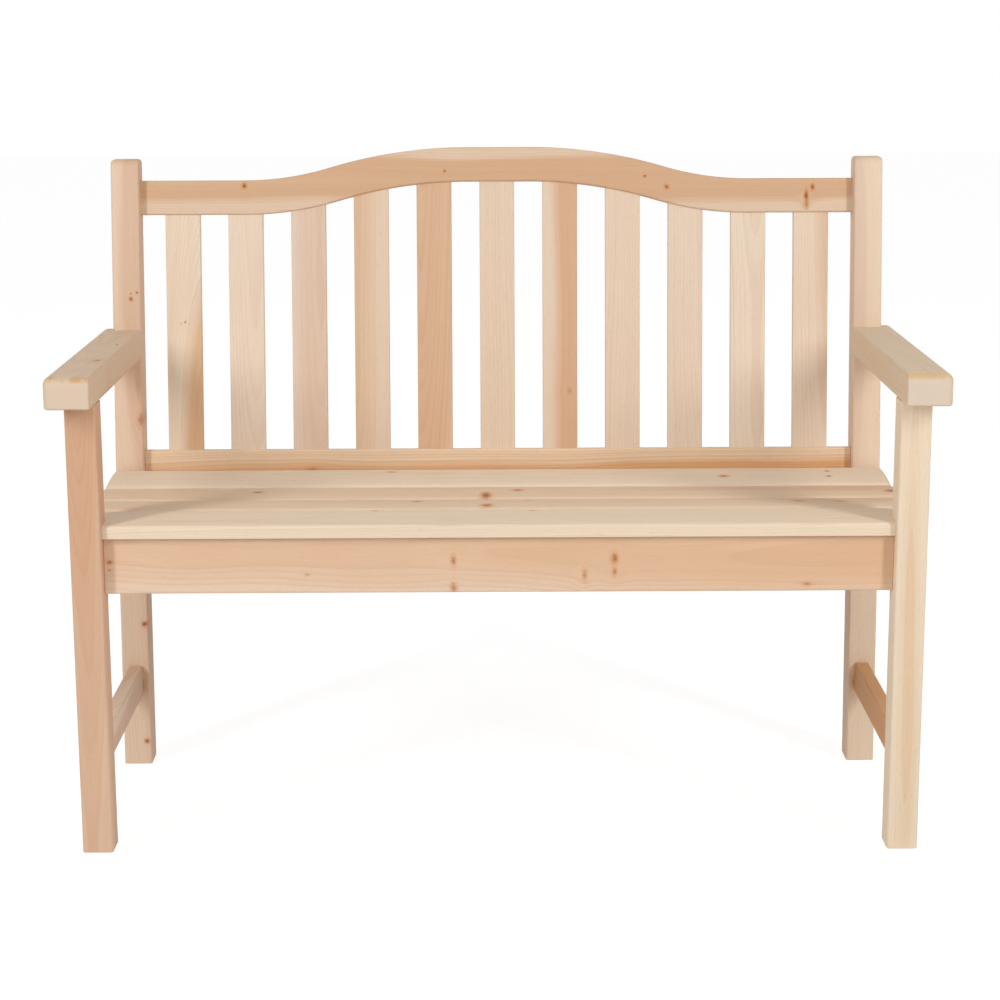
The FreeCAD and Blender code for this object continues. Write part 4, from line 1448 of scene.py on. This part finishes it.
@dataclass
class Fixings:
    """Steel that holds the bench together, and the dowels inside it."""

    line: PostLine
    arm_line: ArmLine
    material: Material
    bolt: Fixing = Fixing(head_radius=0.008, head_thickness=0.0025, shank_radius=0.003, length=0.081)
    seat_screw: Fixing = Fixing(head_radius=0.004, head_thickness=0.0025, shank_radius=0.002, length=0.029)
    arm_screw: Fixing = Fixing(head_radius=0.006, head_thickness=0.004, shank_radius=0.003, length=0.089)
    head_sides: int = 48
    rim_steps: int = 5
    fill_steps: int = 6
    bolt_sides: int = 24
    screw_sides: int = 20
    socket_radius: float = 0.0025
    socket_depth: float = 0.002
    nut_radius: float = 0.005
    nut_length: float = 0.014
    slot_width: float = 0.0014
    bolt_crown_share: float = 0.30
    nut_crown_share: float = 0.05
    screw_crown_share: float = 0.45
    recess_shares: tuple[float, float, float] = (1.24, 0.22, 1.2)
    smooth_angle: float = math.radians(30)

    def head(self, tree: MeshTree, radius: Value, thickness: Value, crown_share: float) -> Value:
        """Disc from the origin up, whose rim falls off by a share of its thickness."""
        inputs = {
            "Vertices": self.head_sides, "Side Segments": self.rim_steps, "Fill Segments": self.fill_steps,
            "Radius": radius, "Depth": thickness}
        disc = tree.raised(tree.node("GeometryNodeMeshCylinder", inputs), thickness * 0.5)
        x, y, z = tree.place()
        out = (x * x + y * y).root() / radius
        return tree.reshape(disc, x, y, z - out ** 4.0 * crown_share * z)

    def group(self, node: str, tree: MeshTree, shape: Value, heads: Sequence[Head]) -> None:
        """Copy a fixing to its places.

        Args:
            node: The node that the copies stand for.
            tree: The fixing's tree.
            shape: The fixing, its head facing up.
            heads: Place of each copy and the way that its head faces.
        """
        places = bpy.data.meshes.new("places")
        places.from_pydata([place for place, _ in heads], [], [])
        facing = places.attributes.new("facing", "FLOAT_VECTOR", "POINT")
        for item, (_, way) in zip(facing.data, heads):
            item.vector = way
        start = Value(tree, tree.entry.outputs["Geometry"])
        way = tree.node("GeometryNodeInputNamedAttribute", {"Name": "facing"}, data_type="FLOAT_VECTOR")
        turn = tree.node("FunctionNodeAlignRotationToVector", {"Vector": way}, axis="Z")
        inputs = {"Points": start, "Instance": shape, "Rotation": turn}
        copies = tree.node("GeometryNodeInstanceOnPoints", inputs)
        settle(tree.mesh(copies, self.material, places), node, Slot.STEEL, self.material, self.smooth_angle)

    def bolts(self) -> None:
        """Connector bolts: flat round heads with hexagon sockets."""
        tree = MeshTree("connector_bolt")
        radius, thickness, shank, length, socket, depth = tree.sizes(
            **asdict(self.bolt), socket_radius=self.socket_radius, socket_depth=self.socket_depth)
        hexagon = tree.round_bar(6, socket, thickness - depth, thickness + depth)
        head = tree.cut(self.head(tree, radius, thickness, self.bolt_crown_share), hexagon)
        bolt = tree.join(head, tree.round_bar(self.bolt_sides, shank, -length, 0.0))
        heads = []
        for low, high in islands("connector_bolts"):
            place = (low + high) / 2
            way = X_AXIS * math.copysign(1.0, place.x)
            place.x = max(low.x, high.x, key=abs)
            heads.append((place - way * self.bolt.head_thickness, way))
        self.group("connector_bolts", tree, bolt, heads)

    def nuts(self) -> None:
        """Barrel nuts with a screwdriver slot in the end that shows."""
        tree = MeshTree("barrel_nut")
        radius, length, slot = tree.sizes(
            radius=self.nut_radius, length=self.nut_length, slot_width=self.slot_width)
        body = tree.raised(self.head(tree, radius, length, self.nut_crown_share), length * -0.5)
        groove = tree.raised(tree.block(radius * 3.0, slot, slot * 2.0), length * 0.5)
        lower, upper = -leaning(self.line.lower_rake)[1], leaning(self.line.upper_rake)[1]
        heads = []
        for low, high in islands("barrel_nuts"):
            middle = (low + high) / 2
            behind = lower if middle.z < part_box("rear_seat_rail")[1].z else upper
            heads.append((middle, Y_AXIS if middle.y < 0 else behind))
        self.group("barrel_nuts", tree, tree.cut(body, groove), heads)

    def screws(self, node: str, sizes: Fixing, heads: Sequence[Head]) -> None:
        """Screws with domed heads and crossed recesses, by the place and facing of each head."""
        tree = MeshTree(node.removesuffix("s"))
        radius, thickness, shank, length = tree.sizes(**asdict(sizes))
        wing, narrow, deep = [
            size * share for size, share in zip((radius, radius, thickness), self.recess_shares)]
        dome = self.head(tree, radius, thickness, self.screw_crown_share)
        for sides in ((wing, narrow), (narrow, wing)):
            dome = tree.cut(dome, tree.raised(tree.block(*sides, deep), thickness))
        screw = tree.join(dome, tree.round_bar(self.screw_sides, shank, -length, 0.0))
        self.group(node, tree, screw, heads)

    def seat_heads(self) -> Iterator[Head]:
        """Heads of the screws under the slats."""
        for low, high in islands("seat_screws"):
            place = (low + high) / 2
            place.z = low.z + self.seat_screw.head_thickness
            yield place, -Z_AXIS

    def arm_heads(self) -> Iterator[Head]:
        """Heads of the screws behind the posts."""
        rise, depth = self.arm_line.screw()
        for low, high in islands("arm_screws"):
            panel = self.line.panel(depth - self.arm_screw.head_thickness, rise, (low.x + high.x) / 2)
            yield panel.origin, -panel.through

    def dowels(self, finish: BoardFinish) -> None:
        """Turned dowels; their solids are shown as they are."""
        for node, along in (("seat_rail_dowels", Y_AXIS), ("arm_dowels", Z_AXIS)):
            material = BoardMaterial(node, BoardFrame(Vector(), along, X_AXIS), finish).material
            dowels = frame["nodes"][node]
            dowels.data.materials.clear()
            dowels.data.materials.append(material)
            log.info("%s: finish %s", node, material.name)

    def build(self, dowel_finish: BoardFinish) -> None:
        """Make all fixings."""
        self.bolts()
        self.nuts()
        self.screws("seat_screws", self.seat_screw, list(self.seat_heads()))
        self.screws("arm_screws", self.arm_screw, list(self.arm_heads()))
        self.dowels(dowel_finish)


# Light, floor and camera

@dataclass
class Studio:
    """White floor and sky, two strip lamps and the camera."""

    horizon: float = 0.17
    zenith: float = 0.47
    sky_rises: Point = (0.25, 0.50)
    lamp_turn: float = math.radians(46)
    lamp_rise: float = math.radians(27)
    lamp_distance: float = 4.0
    lamp_sizes: Point = (0.5, 2.0)
    lamp_watts: float = 58.0
    floor_half: float = 14.0
    floor_drop: float = 0.0006
    floor_glow: float = 0.83
    floor_pale: Colour = (0.95, 0.95, 0.95)
    floor_faint: Colour = (0.36, 0.36, 0.36)
    target: Vector = field(default_factory=lambda: Vector((0, 0, 0.45)))
    camera_place: Vector = field(default_factory=lambda: Vector((-0.00672, -3.36082, 1.19209)))
    camera_pitch: float = 0.2155
    camera_yaw: float = -0.0027
    camera_roll: float = -0.0041
    lens: float = 84.167
    sensor: float = 36.0
    clip_end: float = 100.0

    def camera(self) -> None:
        """Camera at the photograph's place, turn and field of view."""
        data = bpy.data.cameras.new("camera")
        data.lens = self.lens
        data.sensor_width = self.sensor
        data.clip_end = self.clip_end
        camera = placed("camera", data)
        turns = ((self.camera_yaw, "Z"), (math.pi / 2 - self.camera_pitch, "X"), (self.camera_roll, "Z"))
        matrix = Matrix.Translation(self.camera_place)
        for angle, axis in turns:
            matrix = matrix @ Matrix.Rotation(angle, 4, axis)
        camera.matrix_world = matrix
        bpy.context.scene.camera = camera

    def seen(self, graph: Graph) -> Value:
        """One for rays that show the background itself: from the camera, in gloss or through glass."""
        path = graph.node("ShaderNodeLightPath").socket.node
        rays = [Value(graph, path.outputs[f"Is {kind} Ray"]) for kind in ("Camera", "Glossy", "Transmission")]
        return rays[0].at_least(rays[1]).at_least(rays[2])

    def floor(self) -> None:
        """Pale floor that looks white and keeps the bench's shadow."""
        mesh = bpy.data.meshes.new("floor")
        corners = [(-1, -1), (1, -1), (1, 1), (-1, 1)]
        places = [(x * self.floor_half, y * self.floor_half, -self.floor_drop) for x, y in corners]
        mesh.from_pydata(places, [], [(0, 1, 2, 3)])
        floor = placed("floor", mesh)
        material = bpy.data.materials.new("floor.finish")
        graph = Graph(emptied(material))
        pale = graph.node("ShaderNodeBsdfDiffuse", {"Color": self.floor_pale})
        faint = graph.node("ShaderNodeBsdfDiffuse", {"Color": self.floor_faint})
        glow = graph.node("ShaderNodeEmission", {"Strength": self.floor_glow})
        shown = graph.node("ShaderNodeAddShader", {0: faint, 1: glow})
        shader = graph.node("ShaderNodeMixShader", {0: self.seen(graph), 1: pale, 2: shown})
        graph.node("ShaderNodeOutputMaterial", {"Surface": shader})
        mesh.materials.append(material)

    def sky(self) -> None:
        """White sky: full for the camera; as light, soft and mostly from above."""
        world = bpy.data.worlds.new("sky")
        graph = Graph(emptied(world))
        _, _, rise = graph.split(graph.node("ShaderNodeTexCoord", output="Generated"))
        seen = self.seen(graph)
        light = rise.ramp(*self.sky_rises) * (self.zenith - self.horizon) + self.horizon
        inputs = {"Color": (1.0, 1.0, 1.0), "Strength": seen + (1 - seen) * light}
        graph.node("ShaderNodeOutputWorld", {"Surface": graph.node("ShaderNodeBackground", inputs)})
        bpy.context.scene.world = world

    def lamp(self, side: Side) -> None:
        """Upright strip lamp in front of the bench, on one side, that faces it."""
        data = bpy.data.lights.new(side.name.lower(), "AREA")
        data.shape = "RECTANGLE"
        data.size, data.size_y = self.lamp_sizes
        data.energy = self.lamp_watts
        lamp = placed(data.name, data)
        turn = side.value * self.lamp_turn
        level = Vector((math.sin(turn), -math.cos(turn), 0)) * math.cos(self.lamp_rise)
        out = level + Z_AXIS * math.sin(self.lamp_rise)
        lamp.location = self.target + out * self.lamp_distance
        lamp.rotation_euler = (-out).to_track_quat("-Z", "Y").to_euler()

    def build(self) -> None:
        """Set the stage."""
        bpy.context.scene.view_settings.view_transform = "Standard"
        self.camera()
        self.floor()
        self.sky()
        for side in Side:
            self.lamp(side)


# Boards as they were picked for this bench

def frame_finishes() -> dict[str, BoardFinish]:
    """Wood of legs, posts, arms and stretchers."""
    return {
        "front_leg_left": wood(
            (222, 188, 160), (210, 166, 134), 1.3,
            heart_radius=0.036, pith_across=-0.002, pith_through=0.006, runout=-0.034, ring_depth=0.34),
        "front_leg_right": wood(
            (236, 216, 190), (228, 198, 164), 2.1,
            heart_radius=0.011, heart_blur=0.008, pith_across=0.001, pith_through=-0.020, runout=0.040,
            ring_depth=0.14),
        "rear_post_left": wood(
            (231, 204, 178), (220, 186, 160), 3.7,
            Knot(0.2539, 0.0069, 0.0032, 1.1), Knot(0.263, 0.0162, 0.0022), Knot(0.2620, 0.0065, 0.0014),
            # The entry at along -0.350 is not a knot: it is a spot of warm painted shade where the stretcher
            # meets the post.
            Knot(0.0705, 0.0185, 0.0048, 2.2, 0.6), Knot(-0.350, 0.0105, 0.0085, 1.9, 0.3),
            Knot(0.1250, 0.0160, 0.0065, 4.5, 0.22), Knot(-0.250, 0.0160, 0.0046, 1.0, 1.0),
            Knot(-0.438, 0.0144, 0.0040, 1.0, 0.95),
            heart_radius=0.046, heart_blur=0.008, pith_across=0.040, pith_through=0.0125, runout=0.033),
        "rear_post_right": wood(
            # The entry at along -0.348 is not a knot: it is a spot of warm painted shade where the stretcher
            # meets the post.
            (234, 211, 185), (223, 195, 171), 4.2, Knot(-0.348, -0.0100, 0.0080, 1.8, 0.35),
            heart_radius=0.034, pith_across=-0.036, pith_through=0.001, runout=0.033, ring_depth=0.14),
        "arm_left": wood(
            (216, 191, 164), (202, 167, 138), 5.6,
            Knot(-0.090, -0.0160, 0.0130, 1.9, 0.22), Knot(-0.090, -0.0166, 0.0052, 1.1, 0.85),
            Knot(0.072, -0.0195, 0.0026, 1.8, 0.8),
            heart_radius=0.030, pith_across=0.004, pith_through=-0.034, runout=0.05, ring_depth=0.42,
            streak=0.6, arris=tone(206, 160, 112), arris_share=0.85, end_grain=tone(220, 196, 173),
            end_share=0.9),
        "arm_right": wood(
            (222, 199, 171), (210, 178, 148), 6.8,
            heart_radius=0.028, pith_across=-0.030, pith_through=-0.04, ring_depth=0.30,
            arris=tone(216, 182, 134), arris_share=0.85, end_grain=tone(219, 200, 180), end_share=0.9),
        "side_stretcher_left": wood(
            (231, 208, 185), (213, 178, 150), 7.1, pith_through=-0.03, runout=0.06, ring_depth=0.34),
        "side_stretcher_right": wood(
            (216, 168, 122), (202, 148, 98), 8.4, pith_through=-0.03, runout=0.04),
    }


def seat_finishes() -> dict[str, BoardFinish]:
    """Wood of the seat's slats, rails and supports."""
    finishes = {
        "seat_slat_1": wood(
            (236, 216, 190), (222, 198, 170), 11.2,
            Knot(0.048, 0.033, 0.0034, 1.6, 0.5), Knot(-0.175, 0.036, 0.0034, 1.6, 0.45),
            Knot(0.283, 0.040, 0.0032, 1.6, 0.5),
            heart_radius=0.020, pith_across=-0.02),
        "seat_slat_2": wood(
            (231, 206, 178), (214, 178, 146), 12.9,
            Knot(-0.0165, -0.0275, 0.0120, 0.75, 0.8), Knot(-0.1178, 0.0100, 0.0060, 1.4, 0.9),
            Knot(0.0439, 0.0184, 0.0040, 2.0, 0.5), Knot(0.4314, -0.0033, 0.0050, 2.0, 0.6),
            Knot(0.4915, -0.0052, 0.0055, 2.0, 0.6)),
        "seat_slat_3": wood(
            (231, 205, 176), (216, 178, 146), 13.4,
            Knot(-0.0182, -0.0290, 0.0180, 0.42, 1.0), Knot(0.0290, 0.0050, 0.0075, 1.1, 0.9),
            Knot(-0.3549, -0.0033, 0.0065, 1.2, 0.75), Knot(0.578, -0.0120, 0.0090, 1.0, 1.0),
            heart_radius=0.046),
        "seat_slat_4": wood(
            (236, 216, 191), (223, 193, 165), 14.7,
            Knot(0.3421, -0.0060, 0.0065, 1.2, 0.75), Knot(0.5028, 0.0218, 0.0045, 1.0, 0.75),
            Knot(0.5013, -0.0091, 0.0046, 1.0, 0.75), Knot(-0.1637, 0.0286, 0.0050, 1.5, 0.5),
            heart_radius=0.040),
        "front_apron": wood(
            (233, 205, 180), (221, 179, 142), 15.5,
            Knot(-0.5392, 0.0055, 0.0034, 1.2, 0.75), Knot(-0.5397, -0.0059, 0.0020, 1.0, 0.5),
            Knot(-0.0630, 0.0059, 0.0078, 0.55, 0.60), Knot(-0.0632, -0.0330, 0.0085, 0.6, 0.55),
            Knot(0.1187, -0.0151, 0.0080, 0.5, 0.5), Knot(0.1602, 0.0075, 0.0088, 0.6, 0.68),
            Knot(0.1603, -0.0110, 0.0060, 0.6, 0.6), Knot(0.4275, -0.0296, 0.0028, 3.0, 0.5),
            Knot(-0.2656, -0.0131, 0.0022, 2.0, 0.35),
            heart_radius=0.084, heart_blur=0.016, pith_across=0.010, pith_through=-0.060, runout=0.014,
            ring_depth=0.28, streak=0.6),
    }
    seeds = {
        "rear_seat_rail": 16.3, "side_seat_rail_left": 17.8, "side_seat_rail_right": 18.6,
        "centre_seat_support": 19.1}
    for node, seed in seeds.items():
        finishes[node] = wood((228, 200, 172), (214, 174, 140), seed)
    return finishes


def back_finishes() -> dict[str, BoardFinish]:
    """Wood of the back's rails and slats."""
    slats = (
        wood(
            (236, 216, 193), (218, 176, 136), 31.0,
            Knot(0.0145, -0.0053, 0.0012, 1.0, 0.5), Knot(0.0165, 0.0016, 0.0017, 1.0, 0.8),
            Knot(0.0135, 0.0076, 0.0011, 1.0, 0.4),
            heart_radius=0.034, pith_across=0.036, pith_through=-0.034, runout=-0.15),
        wood((236, 215, 194), (225, 194, 167), 32.5, heart_radius=0.020),
        wood((232, 211, 194), (225, 198, 175), 33.1),
        wood((231, 207, 183), (221, 189, 157), 34.6, heart_radius=0.048, pith_across=-0.03),
        wood(
            (233, 208, 185), (219, 181, 148), 35.2,
            heart_radius=0.060, pith_across=-0.020, pith_through=-0.026, runout=0.06, ring_spacing=0.005,
            ring_depth=0.36),
        wood((231, 208, 184), (221, 188, 158), 36.9, heart_radius=0.030, pith_across=0.05),
        wood(
            (232, 210, 187), (217, 175, 142), 37.7, Knot(-0.0924, 0.0147, 0.0034, 1.6, 0.3),
            heart_radius=0.042, pith_across=0.036, pith_through=-0.012, runout=-0.01),
        wood((232, 210, 187), (224, 192, 164), 38.3, heart_radius=0.026, pith_across=-0.05),
        wood(
            (233, 212, 191), (223, 192, 166), 39.8, Knot(-0.2018, 0.0017, 0.0050, 1.0, 0.35),
            heart_radius=0.036, pith_across=0.045),
        wood((236, 217, 196), (227, 196, 167), 40.4, heart_radius=0.030),
        wood((234, 213, 190), (220, 184, 152), 41.6, heart_radius=0.036, pith_across=0.03),
    )
    finishes = {f"back_slat_{index + 1:02d}": finish for index, finish in enumerate(slats)}
    finishes["back_top_rail"] = wood(
        (226, 200, 174), (213, 173, 138), 21.9,
        Knot(-0.3874, 0.0172, 0.0046, 0.9, 1.0), Knot(-0.0802, 0.0388, 0.0024, 1.0, 0.9),
        Knot(0.2269, 0.0299, 0.0026, 1.0, 0.9), Knot(0.2607, 0.0130, 0.0042, 0.9, 0.95),
        Knot(0.4755, -0.0020, 0.0098, 0.40, 0.95), Knot(0.4758, -0.0140, 0.0070, 0.5, 0.55),
        Knot(0.4850, 0.0121, 0.0052, 0.65, 0.95),
        heart_radius=0.040, heart_blur=0.005, pith_across=0.0290, pith_through=-0.009, runout=0.006,
        ring_depth=0.26, streak=0.50)
    finishes["back_bottom_rail"] = wood(
        (235, 206, 174), (220, 165, 113), 22.4, Knot(-0.2878, -0.0165, 0.0050, 2.2, 0.7),
        heart_radius=0.034, heart_blur=0.006, pith_across=-0.03, pith_through=-0.012, ring_depth=0.46,
        ring_spacing=0.0042)
    return finishes


def main() -> None:
    """Build the bench piece by piece, then its stage."""
    logging.basicConfig(level=logging.INFO, format="%(name)s %(message)s")
    line = PostLine()
    arm_line = ArmLine(line)
    for side in Side:
        SideFrame(line=line, finishes=frame_finishes(), side=side, arm_line=arm_line).build()
    Seat(line=line, finishes=seat_finishes()).build()
    Back(line=line, finishes=back_finishes()).build()
    zinc = ZincFinish().material("zinc_steel.finish")
    Fixings(line, arm_line, zinc).build(wood((222, 190, 150), (206, 166, 122), 51.0))
    Studio().build()


if __name__ == "__main__":
    main()
